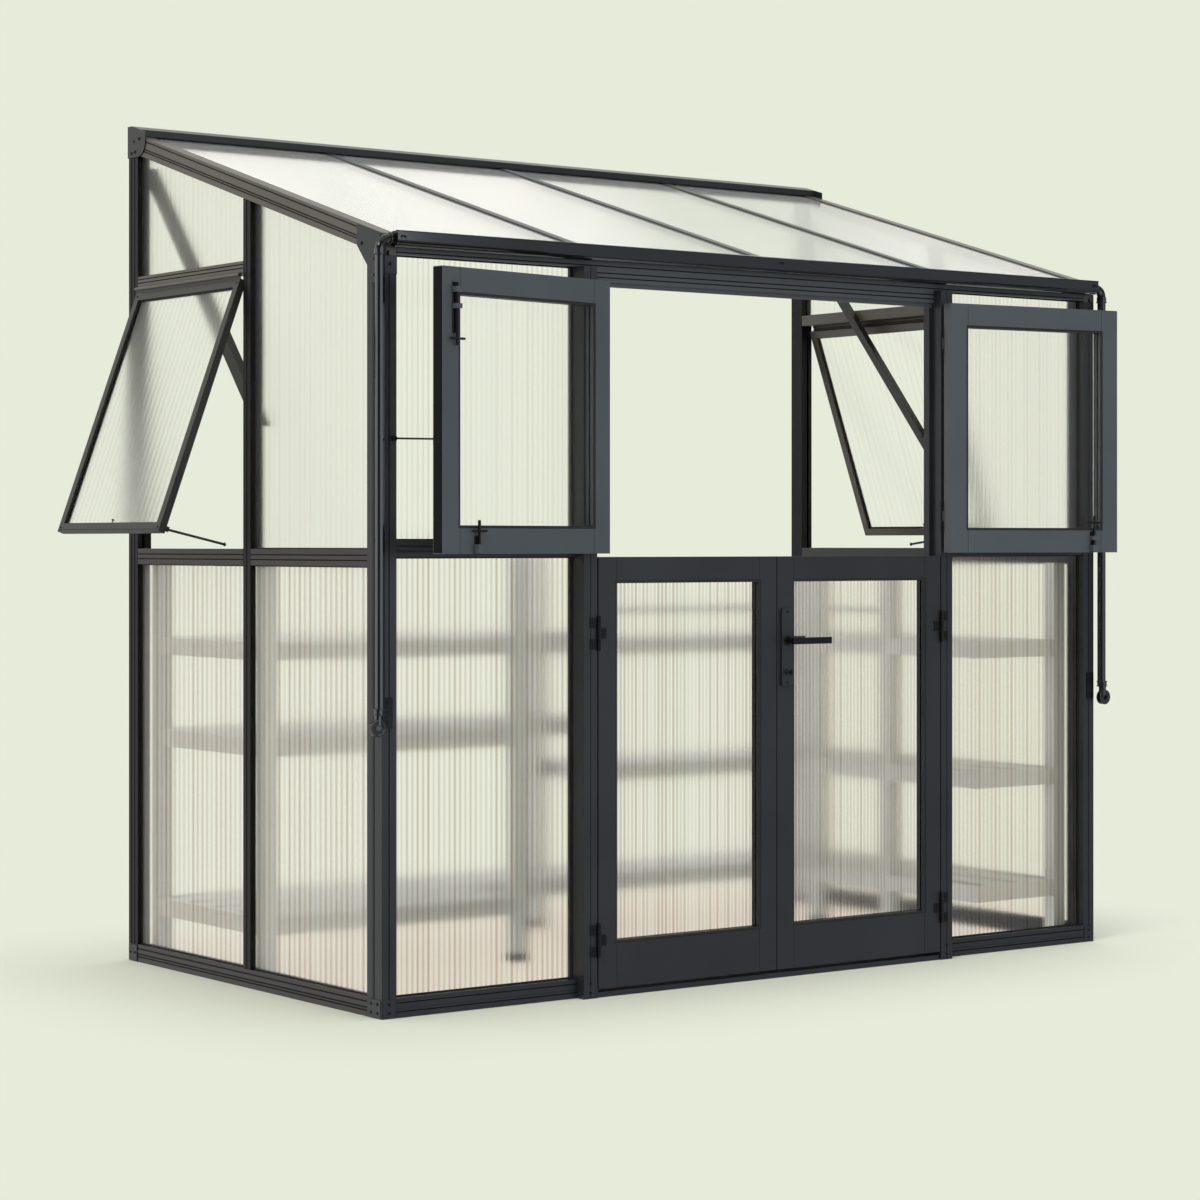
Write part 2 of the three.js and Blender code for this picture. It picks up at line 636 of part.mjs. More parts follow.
// Eave beam and door header in one
const sheetUnder = -SHEET_DROP - FIT;
const eaveTopAtBack = roofTop(BAR) - SHEET_DROP;
const eaveBeam = cut(
  join(
    alongX(section(BAR, eaveTopAtBack - EAVE_BOTTOM, [
      glassSlot('bottom', FRONT_GLASS),
      rib('left', WALL + RIB_WIDTH),
    ]), 0, EAVE_BOTTOM, BAY_START + FIT, -BAY_START - FIT),
    alongX(section(HEADER_DEPTH, EAVE_BOTTOM - HEADER_BOTTOM + BITE, [
      rib('left', (EAVE_BOTTOM - HEADER_BOTTOM) / 3),
      rib('left', (EAVE_BOTTOM - HEADER_BOTTOM) * 2 / 3),
    ]), 0, HEADER_BOTTOM, FIT - JAMB_IN, JAMB_IN - FIT),
    block(FIT - JAMB_IN, JAMB_IN - FIT, STOP_PLACE, STOP_PLACE + STOP_THICK, HEADER_BOTTOM - STOP_REACH, HEADER_BOTTOM + BITE),
  ),
  aboveRoof(sheetUnder),
  rod(BOLT_RADIUS + 2 * BOLT_PLAY, BOLT_HOLE + STOP_REACH + OVERRUN, -MEET_GAP / 2 - LONG_BOLT.edge,
    PIN_Y + PIN_OUT + LEAF_THICK + BOLT_STAND, HEADER_BOTTOM - STOP_REACH - OVERRUN, Z),
);

// Door jamb with the fixed halves of its hinges; its foot steps over the sill
const NORTH_FLAP = JAMB_IN + HINGE_GAP / 2;
function knuckle(from, length, x, y) {
  return rod(KNUCKLE_RADIUS, length, x, y, from, Z, ROUND_STEPS);
}
function fixedHinge(middle) {
  const third = HINGE_LENGTH / 3;
  const low = middle - HINGE_LENGTH / 2;
  const flap = (from) => block(
    PIN_X, JAMB_IN + HINGE_FLAP, -JAMB_PROUD - HINGE_PLATE, -JAMB_PROUD + BITE, from, from + third - KNUCKLE_GAP,
  );
  const arm = (from) => block(
    PIN_X - HINGE_PLATE / 2, PIN_X + HINGE_PLATE, PIN_Y, -JAMB_PROUD - BITE, from, from + third - KNUCKLE_GAP,
  );
  return [
    knuckle(low, third - KNUCKLE_GAP, PIN_X, PIN_Y),
    knuckle(low + 2 * third + KNUCKLE_GAP, third - KNUCKLE_GAP, PIN_X, PIN_Y),
    rod(PIN_RADIUS, HINGE_LENGTH - BITE, PIN_X, PIN_Y, low + BITE / 2, Z, ROUND_STEPS),
    flap(low), arm(low), flap(low + 2 * third + KNUCKLE_GAP), arm(low + 2 * third + KNUCKLE_GAP),
  ];
}
const jambShape = section(JAMB, BAR + JAMB_PROUD, [
  glassSlot('right', FRONT_GLASS + JAMB_PROUD),
  rib('bottom', JAMB / 2),
], [WALL + RIB_WIDTH, JAMB - WALL, WALL + RIB_DEPTH, FRONT_GLASS + JAMB_PROUD - SLOT / 2 - WALL]);
const rightJamb = join(
  cut(
    upright(jambShape, JAMB_IN, -JAMB_PROUD, 0, EAVE_BOTTOM - FIT),
    block(JAMB_IN - OVERRUN, JAMB_OUT + OVERRUN, -FIT, BAR + OVERRUN, -OVERRUN, SILL_HEIGHT + FIT),
  ),
  block(JAMB_IN - STOP_REACH, JAMB_IN + BITE, STOP_PLACE, STOP_PLACE + STOP_THICK, SILL_HEIGHT, HEADER_BOTTOM - STOP_REACH - FIT),
  ...[...LOWER_HINGES, ...UPPER_HINGES].flatMap(fixedHinge),
);

// Rail across the front bay, in front of its one tall sheet
const frontRail = alongX(section(FRONT_RAIL_DEPTH, FRONT_RAIL_HEIGHT, [
  ...ribs(FRONT_RAIL_HEIGHT, RAIL_RIB_SHARES),
]), FRONT_GLASS - SHEET / 2 - FIT - FRONT_RAIL_DEPTH, FRONT_RAIL_BOTTOM, JAMB_OUT + FIT, -BAY_START - FIT);
const frontPanel = cut(
  block(
    JAMB_OUT - intoSlot, -BAY_START + intoSlot, FRONT_GLASS - SHEET / 2, FRONT_GLASS + SHEET / 2,
    SILL_HEIGHT - intoSlot, EAVE_BOTTOM + intoSlot,
  ),
  block(-BAY_START - FIT, HALF, 0, BAR, EAVE_BOTTOM, EAVE_TOP),
  block(JAMB_IN, JAMB_OUT, 0, BAR, EAVE_BOTTOM - FIT, EAVE_TOP),
);

// Roof sheets between bars at equal spacing
const barPitch = LENGTH / (ROOF_BARS + 1);
const barPlaces = Array.from({ length: ROOF_BARS }, (_, i) => (i + 1) * barPitch - HALF);
function roofPanel(left, right) {
  const shape = outline([[left, -SHEET / 2], [right, -SHEET / 2], [right, SHEET / 2], [left, SHEET / 2]]);
  const whole = alongSlope(
    shape, 0, EAVE_TOP - (RAFTER_HEIGHT - RAFTER_SHEET) / COS, -ROOF_OVERHANG, BACK_FACE + SLOT_DEPTH,
  );
  return cut(whole, block(BAR - HALF - HALF, BAR - HALF, -BIG, 0, 0, BIG), block(HALF - BAR, HALF, -BIG, 0, 0, BIG));
}
const edges = [-HALF + GABLE_GLASS + FIT, ...barPlaces.flatMap((x) => [
  x - ROOF_BAR_WEB / 2 - FIT, x + ROOF_BAR_WEB / 2 + FIT,
]), HALF - GABLE_GLASS - FIT];
const roofPanels = Array.from({ length: ROOF_BARS + 1 }, (_, i) => roofPanel(edges[2 * i], edges[2 * i + 1]));

// Glazing bar: cap above the sheets, web between them, flange and stem below
function roofBar(x) {
  const w = ROOF_BAR_WIDTH / 2;
  const sheetLow = RAFTER_SHEET - SLOT / 2;
  const sheetHigh = RAFTER_SHEET + SLOT / 2;
  const web = ROOF_BAR_WEB / 2;
  const stem = ROOF_BAR_STEM / 2;
  const low = RAFTER_HEIGHT - ROOF_BAR_HEIGHT;
  const shape = outline([
    [-stem, low], [stem, low], [stem, sheetLow - ROOF_BAR_FLANGE], [w, sheetLow - ROOF_BAR_FLANGE], [w, sheetLow],
    [web, sheetLow], [web, sheetHigh], [w, sheetHigh], [w - WALL, RAFTER_HEIGHT], [-w + WALL, RAFTER_HEIGHT],
    [-w, sheetHigh], [-web, sheetHigh], [-web, sheetLow], [-w, sheetLow], [-w, sheetLow - ROOF_BAR_FLANGE],
    [-stem, sheetLow - ROOF_BAR_FLANGE],
  ]);
  return cut(
    alongSlope(shape, x, EAVE_TOP - RAFTER_DROP, -ROOF_OVERHANG, BACK_FACE + STOP_REACH + SLOT_DEPTH),
    block(-BIG, BIG, -BIG, BAR + FIT, 0, BIG).subtract(aboveRoof(sheetUnder + FIT)),
  );
}

// Ridge beam with its sloping hood, the three glazing bars and an end cap at each gable
const hoodFront = DEPTH - HOOD_REACH;
const hoodLow = roofTop(hoodFront) + WALL / 2;
const ridgeShape = outline([
  [DEPTH, RIDGE_BASE], [DEPTH, RIDGE_TOP], [DEPTH - HOOD_REACH / 3, RIDGE_TOP],
  [hoodFront, RIDGE_TOP - HOOD_DROP], [hoodFront, hoodLow], [BACK_FACE, roofTop(BACK_FACE) + WALL / 2],
  [BACK_FACE, RIDGE_BASE],
]);
function endCap() {
  const shape = new THREE.Shape();
  const front = DEPTH - CAP_DEPTH;
  const low = RIDGE_TOP - CAP_DROP;
  shape.moveTo(DEPTH, low);
  shape.lineTo(DEPTH, RIDGE_TOP);
  shape.lineTo(DEPTH - HOOD_REACH / 3, RIDGE_TOP);
  shape.lineTo(front, RIDGE_TOP - HOOD_DROP - (CAP_DEPTH - HOOD_REACH) * TAN);
  shape.lineTo(front, low + CAP_ROUND);
  shape.absarc(front + CAP_ROUND, low + CAP_ROUND, CAP_ROUND, Math.PI, Math.PI * 1.5, false);
  shape.closePath();
  const plate = alongX(shape, 0, 0, HALF + FIT, HALF + FIT + PLATE);
  const seat = block(HALF - BITE, HALF + FIT + BITE, BACK_FACE + BITE, DEPTH - BITE, RIDGE_BASE + BITE, RIDGE_TOP - HOOD_DROP - BITE);
  const face = HALF + FIT + PLATE + OVERRUN;
  const at = ([across, up]) => [face, DEPTH - CAP_DEPTH * across, low + CAP_DROP * up];
  const inwards = X.clone().negate();
  const holes = screws(CAP_SCREW_SHARES.map(at), SCREW_RADIUS, SCREW_DEPTH, inwards);
  const large = rod(2 * SCREW_RADIUS, SCREW_DEPTH + OVERRUN, ...at(CAP_HOLE_SHARE), inwards);
  return cut(join(plate, seat), ...holes, large);
}
const roofSheetRoom = alongSlope(outline([
  [-HALF + GABLE_GLASS, -SLOT / 2], [HALF - GABLE_GLASS, -SLOT / 2],
  [HALF - GABLE_GLASS, SLOT / 2], [-HALF + GABLE_GLASS, SLOT / 2],
]), 0, EAVE_TOP - (RAFTER_HEIGHT - RAFTER_SHEET) / COS, hoodFront - OVERRUN, BACK_FACE + SLOT_DEPTH + FIT);
const cap = endCap();
const ridgeBeam = join(
  cut(alongX(ridgeShape, 0, 0, -HALF, HALF), roofSheetRoom),
  ...barPlaces.map(roofBar),
  cap,
  mirrored(cap),
);

// Gutter with closed ends
const gutterY = -GUTTER_RADIUS - GUTTER_GAP;
const gutterEnd = HALF - BAR / 2;
function gutterShape() {
  const shape = new THREE.Shape();
  const inner = GUTTER_RADIUS - GUTTER_WALL;
  shape.moveTo(GUTTER_RADIUS, 0);
  shape.lineTo(inner, 0);
  shape.absarc(0, 0, inner, 0, Math.PI, true);
  shape.lineTo(-inner, GUTTER_RADIUS - GUTTER_BEAD);
  shape.absarc(-GUTTER_RADIUS + GUTTER_BEAD / 2, GUTTER_RADIUS - GUTTER_BEAD, GUTTER_BEAD, 0, Math.PI, false);
  shape.lineTo(-GUTTER_RADIUS, GUTTER_RADIUS - GUTTER_BEAD);
  shape.absarc(0, 0, GUTTER_RADIUS, Math.PI, 2 * Math.PI, false);
  return shape;
}
const gutterStop = (from, to) => {
  const shape = new THREE.Shape();
  shape.absarc(0, 0, GUTTER_RADIUS - BITE, 0, 2 * Math.PI, false);
  return alongX(shape, gutterY, GUTTER_AXIS_Z, from, to);
};
const gutter = cut(
  join(
    alongX(gutterShape(), gutterY, GUTTER_AXIS_Z, -gutterEnd, gutterEnd),
    gutterStop(-gutterEnd, GUTTER_WALL - gutterEnd),
    gutterStop(gutterEnd - GUTTER_WALL, gutterEnd),
  ),
);

// Downpipe: socket on the gutter's end, elbow, pipe, neck and ring
function quarter(radius, bend, steps) {
  const path = new THREE.CatmullRomCurve3(Array.from({ length: steps + 1 }, (_, i) => {
    const angle = (i / steps) * Math.PI / 2;
    return new THREE.Vector3(bend * Math.sin(angle), 0, bend * Math.cos(angle) - bend);
  }));
  const circle = new THREE.Shape();
  circle.absarc(0, 0, radius, 0, 2 * Math.PI, false);
  const geometry = new THREE.ExtrudeGeometry(circle, {
    steps, bevelEnabled: false, curveSegments: ROD_STEPS, extrudePath: path,
  });
  return geometry;
}
const pipeX = HALF + PIPE_OUT;
const elbowStart = pipeX - ELBOW_RADIUS;
const elbow = quarter(PIPE_RADIUS, ELBOW_RADIUS, ARC_STEPS);
elbow.translate(elbowStart, -PIPE_FRONT, GUTTER_AXIS_Z);
const elbowLow = GUTTER_AXIS_Z - ELBOW_RADIUS;
const ringZ = PIPE_FOOT - RING_DROP;
const rightPipe = cut(
  join(
    rod(SOCKET_RADIUS, elbowStart - gutterEnd - FIT, gutterEnd + FIT, -PIPE_FRONT, GUTTER_AXIS_Z, X),
    solid(elbow),
    rod(PIPE_RADIUS, BITE * 2, elbowStart - BITE, -PIPE_FRONT, GUTTER_AXIS_Z, X),
    rod(SOCKET_RADIUS, SOCKET_LENGTH, pipeX, -PIPE_FRONT, elbowLow - SOCKET_LENGTH + BITE, Z),
    rod(PIPE_RADIUS, elbowLow - PIPE_FOOT, pipeX, -PIPE_FRONT, PIPE_FOOT, Z),
    rod(SOCKET_RADIUS, SOCKET_LENGTH, pipeX + RING_OUT / 4, -PIPE_FRONT, PIPE_FOOT - SOCKET_LENGTH, Z),
    rod(RING_RADIUS / 2, RING_DROP - SOCKET_LENGTH, pipeX + RING_OUT / 2, -PIPE_FRONT, ringZ, Z),
    rod(RING_RADIUS, RING_THICK, pipeX + RING_OUT, -PIPE_FRONT - RING_THICK / 2, ringZ, Y, 2 * ROUND_STEPS),
  ),
  rod(RING_HOLE, RING_THICK + 2 * OVERRUN, pipeX + RING_OUT, -PIPE_FRONT - RING_THICK / 2 - OVERRUN, ringZ, Y),
);

// A door leaf, drawn shut with its pin at the origin, reaching along +X
const LEAF_OUT = PIN_OUT;
const LEAF_IN = PIN_OUT + LEAF_THICK;
const LEAF_START = HINGE_GAP / 2;
const LEAF_END = LEAF_START + LEAF_WIDTH;
function movingHinge(middle) {
  const third = HINGE_LENGTH / 3;
  const low = middle - third / 2;
  const length = third;
  return [
    knuckle(low, length, 0, 0),
    block(0, LEAF_START + HINGE_FLAP, LEAF_OUT - HINGE_PLATE, LEAF_OUT + BITE, low, low + length),
    block(-HINGE_PLATE, HINGE_PLATE / 2, 0, LEAF_OUT - BITE, low, low + length),
  ];
}
function leafFrame(size, hinges) {
  const inLow = size.bottom + size.bottomRail;
  const inHigh = size.top - size.topRail;
  const left = LEAF_START + STILE;
  const right = LEAF_END - STILE;
  const middle = (LEAF_OUT + LEAF_IN) / 2;
  const frame = cut(
    block(LEAF_START, LEAF_END, LEAF_OUT, LEAF_IN, size.bottom, size.top),
    block(left, right, -BIG, BIG, inLow, inHigh),
    block(left - BEAD_WIDTH, right + BEAD_WIDTH, -BIG, LEAF_OUT + BEAD_DEPTH, inLow - BEAD_WIDTH, inHigh + BEAD_WIDTH),
    block(left - BEAD_WIDTH, right + BEAD_WIDTH, LEAF_IN - BEAD_DEPTH, BIG, inLow - BEAD_WIDTH, inHigh + BEAD_WIDTH),
    block(
      left - LEAF_SLOT, right + LEAF_SLOT, middle - SLOT / 2, middle + SLOT / 2, inLow - LEAF_SLOT, inHigh + LEAF_SLOT,
    ),
  );
  const bores = hinges.map((z) => rod(PIN_RADIUS + PIN_PLAY, HINGE_LENGTH, 0, 0, z - HINGE_LENGTH / 2, Z));
  return cut(join(frame, ...hinges.flatMap(movingHinge)), ...bores);
}
function leafPanel(size) {
  const pane = LEAF_SLOT - FIT;
  const middle = (LEAF_OUT + LEAF_IN) / 2;
  return block(
    LEAF_START + STILE - pane, LEAF_END - STILE + pane, middle - SHEET / 2, middle + SHEET / 2,
    size.bottom + size.bottomRail - pane, size.top - size.topRail + pane,
  );
}

// Barrel bolt on the inner face of a leaf: guides on the leaf, and a sliding rod with a cross grip
function boltGuides(bolt, places, foot) {
  const x = LEAF_END - bolt.edge;
  const y = LEAF_IN;
  const half = BOLT_GUIDE.width / 2;
  const guides = places.map(([low, high]) => block(
    x - half, x + half, y - BITE, y + BOLT_GUIDE.depth, foot + low, foot + high,
  ));
  const room = rod(BOLT_RADIUS + BOLT_PLAY, BIG, x, y + BOLT_STAND, 0, Z);
  return guides.map((guide) => cut(guide, room));
}
const leafGuides = (bolt) => boltGuides(bolt, bolt.guides, UPPER_LEAF.bottom);
function boltRod(bolt) {
  const x = LEAF_END - bolt.edge;
  const y = LEAF_IN + BOLT_STAND;
  const bottom = UPPER_LEAF.bottom + bolt.rise;
  const grip = bottom + bolt.length * bolt.gripShare;
  return join(
    rod(BOLT_RADIUS, bolt.length, x, y, bottom, Z),
    rod(BOLT_GRIP_RADIUS, BOLT_GRIP, x - BOLT_GRIP / 2, y + BOLT_RADIUS / 2, grip, X, ROD_STEPS),
  );
}

// Cabin hook: a staple on the leaf's outer face, a peg on the front post, a rod between them
const stapleX = LEAF_END - HOOK_INSET / 2;
const staple = [
  rod(HOOK_RADIUS, HOOK_EYE + BITE, stapleX, LEAF_OUT + BITE, HOOK_Z - HOOK_FALL, Y.clone().negate()),
  rod(STAPLE_HEAD, HOOK_RADIUS, stapleX, LEAF_OUT - HOOK_EYE, HOOK_Z - HOOK_FALL, Y.clone().negate()),
];
const hookStart = new THREE.Vector3(hookX - HALF, -HOOK_EYE, HOOK_Z);
function cabinHook() {
  const open = THREE.MathUtils.degToRad(-LEFT_OPEN_ANGLE);
  const end = new THREE.Vector3(stapleX, LEAF_OUT - HOOK_EYE / 2, HOOK_Z - HOOK_FALL)
    .applyAxisAngle(Z, open).add(new THREE.Vector3(-PIN_X, PIN_Y, 0));
  end.z += STAPLE_HEAD + HOOK_RADIUS + FIT;
  const run = end.clone().sub(hookStart);
  const way = run.clone().normalize();
  const eye = rod(HOOK_EYE, 2 * HOOK_RADIUS, -HOOK_RADIUS, 0, 0, X);
  const arm = rod(HOOK_RADIUS, run.length() - HOOK_RADIUS, way.x * HOOK_RADIUS, way.y * HOOK_RADIUS,
    way.z * HOOK_RADIUS, way, ROD_STEPS);
  const tip = rod(HOOK_RADIUS, 3 * HOOK_EYE, run.x - HOOK_EYE / 2 - HOOK_RADIUS, run.y, run.z - 2 * HOOK_EYE, Z, ROD_STEPS);
  const bend = rod(HOOK_RADIUS, HOOK_EYE, run.x + BITE, run.y, run.z, X.clone().negate(), ROD_STEPS);
  return cut(join(eye, arm, tip, bend), rod(HOOK_RADIUS + PIN_PLAY, 4 * HOOK_EYE, -2 * HOOK_EYE, 0, 0, X));
}
const hook = placed('cabin_hook', cabinHook(), black, hookStart.x, hookStart.y, hookStart.z);

// Lever handle: plate and key cylinder on the stile, and the lever with its spindle
const HANDLE_X = LEAF_END - STILE / 2;
const plateOutline = new THREE.Shape();
{
  const w = HANDLE_PLATE.width / 2;
  const h = HANDLE_PLATE.height / 2;
  const r = 2 * WALL;
  plateOutline.moveTo(-w + r, -h);
  plateOutline.absarc(w - r, -h + r, r, -Math.PI / 2, 0, false);
  plateOutline.absarc(w - r, h - r, r, 0, Math.PI / 2, false);
  plateOutline.absarc(-w + r, h - r, r, Math.PI / 2, Math.PI, false);
  plateOutline.absarc(-w + r, -h + r, r, Math.PI, Math.PI * 1.5, false);
}
function handlePlate(from, to) {
  return extruded(plateOutline, to - from, X, Z, HANDLE_X, to, HANDLE_PLATE.middle);
}
const leverRoom = rod(SPINDLE_RADIUS + SPINDLE_PLAY, BIG, HANDLE_X, -BIG / 2, LEVER_Z, Y);
function handleFittings() {
  return [
    handlePlate(LEAF_OUT - HANDLE_PLATE.thick, LEAF_OUT + BITE),
    handlePlate(LEAF_IN - BITE, LEAF_IN + HANDLE_PLATE.thick),
    rod(KEY_RADIUS, LEAF_THICK + 2 * HANDLE_PLATE.thick + 2 * KEY_REACH, HANDLE_X,
      LEAF_OUT - HANDLE_PLATE.thick - KEY_REACH, KEY_Z, Y),
  ];
}
function lever() {
  const outFace = LEAF_OUT - HANDLE_PLATE.thick;
  const inFace = LEAF_IN + HANDLE_PLATE.thick;
  const neck = LEVER_STAND - LEVER_THICK / 2;
  const grip = (y) => block(
    HANDLE_X - LEVER_LENGTH, HANDLE_X + LEVER_RADIUS, y, y + LEVER_THICK, LEVER_Z - LEVER_HEIGHT / 2, LEVER_Z + LEVER_HEIGHT / 2,
  );
  return join(
    rod(SPINDLE_RADIUS, inFace - outFace + 2 * BITE, HANDLE_X, outFace - BITE, LEVER_Z, Y),
    rod(LEVER_RADIUS, neck, HANDLE_X, outFace - FIT - neck, LEVER_Z, Y),
    rod(LEVER_RADIUS, neck, HANDLE_X, inFace + FIT, LEVER_Z, Y),
    grip(outFace - LEVER_STAND - LEVER_THICK / 2),
    grip(inFace + LEVER_STAND - LEVER_THICK / 2),
  );
}

function leafGroup(side, level, size, hinges, open, extras, rods) {
  const flip = side === 'left' ? (body) => body : mirrored;
  const name = `${level}_${side}`;
  const group = new THREE.Group();
  let frame = leafFrame(size, hinges);
  frame = join(frame, ...extras.add);
  frame = cut(frame, ...extras.cut);
  group.add(piece(`${name}_leaf_frame`, flip(frame), charcoal));
  group.add(piece(`${name}_leaf_panel`, flip(leafPanel(size)), sheet));
  for (const [rodName, body, finish] of rods) group.add(piece(rodName, flip(body), finish));
  const sign = side === 'left' ? -1 : 1;
  group.position.set(sign * PIN_X, PIN_Y, 0);
  group.rotation.z = sign * THREE.MathUtils.degToRad(open);
  return group;
}

const lowerLeft = leafGroup('left', 'lower', LOWER_LEAF, LOWER_HINGES, 0,
  { add: boltGuides(LEFT_BOLT, [BOLT_KEEP], LOWER_LEAF.top), cut: [] }, []);
const lowerRight = leafGroup('right', 'lower', LOWER_LEAF, LOWER_HINGES, 0,
  { add: [...handleFittings(), ...boltGuides(RIGHT_BOLT, [BOLT_KEEP], LOWER_LEAF.top)], cut: [leverRoom] },
  [['lever_handle', lever(), black]]);
const upperLeft = leafGroup('left', 'upper', UPPER_LEAF, UPPER_HINGES, LEFT_OPEN_ANGLE,
  { add: [...leafGuides(LONG_BOLT), ...leafGuides(LEFT_BOLT), ...staple], cut: [] },
  [['left_top_bolt', boltRod(LONG_BOLT), black], ['left_bottom_bolt', boltRod(LEFT_BOLT), black]]);
const upperRight = leafGroup('right', 'upper', UPPER_LEAF, UPPER_HINGES, RIGHT_OPEN_ANGLE,
  { add: leafGuides(RIGHT_BOLT), cut: [] },
  [['right_bottom_bolt', boltRod(RIGHT_BOLT), black]]);

// Slatted shelving: legs, rails round each tier, and slats along its longer side
const slatStarts = (room) => {
  const count = Math.floor((room - SLAT_GAP) / (SLAT + SLAT_GAP));
  const pitch = (room + SLAT) / (count + 1);
  return Array.from({ length: count }, (_, i) => SHELF_RAIL + (i + 1) * pitch - SLAT);
};
const near = HALF - BAR - FIT;
const wall = DEPTH - SHELVING_BACK;
RIGHT_SHELVING.depth = wall - FRONT_POST_DEPTH - SHELVING_FRONT;
RIGHT_SHELVING.wing = 2 * near - LEFT_SHELVING.width - LEFT_SHELVING.wing - WING_GAP - RIGHT_SHELVING.width;
function shelving(unit) {
  const span = (x0, x1, y0, y1, z0, z1) => {
    const [from, to] = unit.side < 0 ? [x0 - near, x1 - near] : [near - x1, near - x0];
    return block(from, to, wall - y1, wall - y0, z0, z1);
  };
  const { width, depth } = unit;
  const end = width + unit.wing;
  const tall = unit.tops[unit.tops.length - 1] + LEG_RISE;
  const leg = (x, y) => span(x, x + LEG, y, y + LEG, 0, tall);
  const parts = [
    ...unit.legShares.map(([inwards, out]) => leg(inwards * (width - LEG), out * (depth - LEG))),
    ...unit.wingShares.map(([inwards, out]) => leg(width - LEG + inwards * unit.wing, out * (WING_DEPTH - LEG))),
  ];
  const inset = BITE;
  const middle = SHELF_RAIL / 2;
  const alongGable = depth > width;
  for (const top of unit.tops) {
    const low = top - SHELF_HEIGHT;
    parts.push(
      span(inset, end - inset, inset, SHELF_RAIL, low, top),
      span(inset, width - inset, depth - SHELF_RAIL, depth - inset, low, top),
      span(inset, SHELF_RAIL, inset, depth - inset, low, top),
      span(width - SHELF_RAIL, width - inset, inset, depth - inset, low, top),
      span(width - SHELF_RAIL, end - inset, WING_DEPTH - SHELF_RAIL, WING_DEPTH - inset, low, top),
      span(end - SHELF_RAIL, end - inset, inset, WING_DEPTH - inset, low, top),
    );
    const [z0, z1] = [top - SLAT_THICK - inset, top - inset];
    for (const from of slatStarts((alongGable ? width : depth) - 2 * SHELF_RAIL)) {
      parts.push(alongGable
        ? span(from, from + SLAT, middle, depth - middle, z0, z1)
        : span(middle, width - middle, from, from + SLAT, z0, z1));
    }
    for (const from of slatStarts(WING_DEPTH - 2 * SHELF_RAIL)) {
      parts.push(span(width - middle, end - middle, from, from + SLAT, z0, z1));
    }
  }
  if (unit.guard) {
    const low = unit.guard - GUARD_HEIGHT;
    const far = Math.max(...unit.legShares.filter(([, out]) => out < 1).map(([, out]) => out)) * (depth - LEG) + LEG;
    parts.push(
      span(width - SHELF_RAIL, width - inset, WING_DEPTH - SHELF_RAIL, far - inset, low, unit.guard),
      span(width - SHELF_RAIL, end - inset, WING_DEPTH - SHELF_RAIL, WING_DEPTH - inset, low, unit.guard),
    );
  }
  return join(...parts);
}

// The whole house, moved so that the origin lies under the middle of the front sill
const greenhouse = new THREE.Group();
greenhouse.add(gable('left'), gable('right'), windowGroup('left'), windowGroup('right'));
greenhouse.add(piece('front_sill', frontSill, charcoal));
greenhouse.add(piece('eave_beam', eaveBeam, charcoal));
greenhouse.add(piece('right_door_jamb', rightJamb, charcoal), piece('left_door_jamb', mirrored(rightJamb), charcoal));
greenhouse.add(piece('right_front_rail', frontRail, charcoal), piece('left_front_rail', mirrored(frontRail), charcoal));
greenhouse.add(piece('right_front_panel', frontPanel, sheet), piece('left_front_panel', mirrored(frontPanel), sheet));
greenhouse.add(piece('ridge_beam', ridgeBeam, charcoal));
roofPanels.forEach((panel, i) => greenhouse.add(piece(`roof_panel_${i + 1}`, panel, sheet)));
greenhouse.add(piece('gutter', gutter, charcoal));
greenhouse.add(piece('right_downpipe', rightPipe, black), piece('left_downpipe', mirrored(rightPipe), black));
greenhouse.add(lowerLeft, lowerRight, upperLeft, upperRight, hook);
greenhouse.add(piece('left_shelving', shelving(LEFT_SHELVING), alloy));
greenhouse.add(piece('right_shelving', shelving(RIGHT_SHELVING), alloy));
greenhouse.position.y = -BAR / 2;
greenhouse.updateMatrixWorld(true);

export default greenhouse;
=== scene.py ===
import math

import bpy
from mathutils import Matrix, Vector


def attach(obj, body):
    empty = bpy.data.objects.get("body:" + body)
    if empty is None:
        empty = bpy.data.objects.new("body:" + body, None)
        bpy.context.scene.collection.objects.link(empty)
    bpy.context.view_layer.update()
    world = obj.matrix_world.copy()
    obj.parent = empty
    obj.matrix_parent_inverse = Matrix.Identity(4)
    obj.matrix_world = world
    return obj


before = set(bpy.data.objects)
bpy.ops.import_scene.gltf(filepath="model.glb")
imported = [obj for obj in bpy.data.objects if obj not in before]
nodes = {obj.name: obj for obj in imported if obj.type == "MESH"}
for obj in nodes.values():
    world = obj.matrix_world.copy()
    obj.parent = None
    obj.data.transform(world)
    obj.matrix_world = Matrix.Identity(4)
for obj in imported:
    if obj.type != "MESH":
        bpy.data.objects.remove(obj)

scene = bpy.context.scene
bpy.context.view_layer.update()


# Where the house is seen from: low and well back, in front of the left gable,
# with a long lens. The picture is 1200 x 1200 pixels.
bpy.ops.object.camera_add(location=(-5.2501, -6.3587, 1.1848),
                          rotation=(math.radians(90), 0, math.radians(-36.41)))
camera = bpy.context.object
camera.data.lens = 90.24
camera.data.sensor_width = 36
camera.data.shift_y = -0.0473
scene.camera = camera


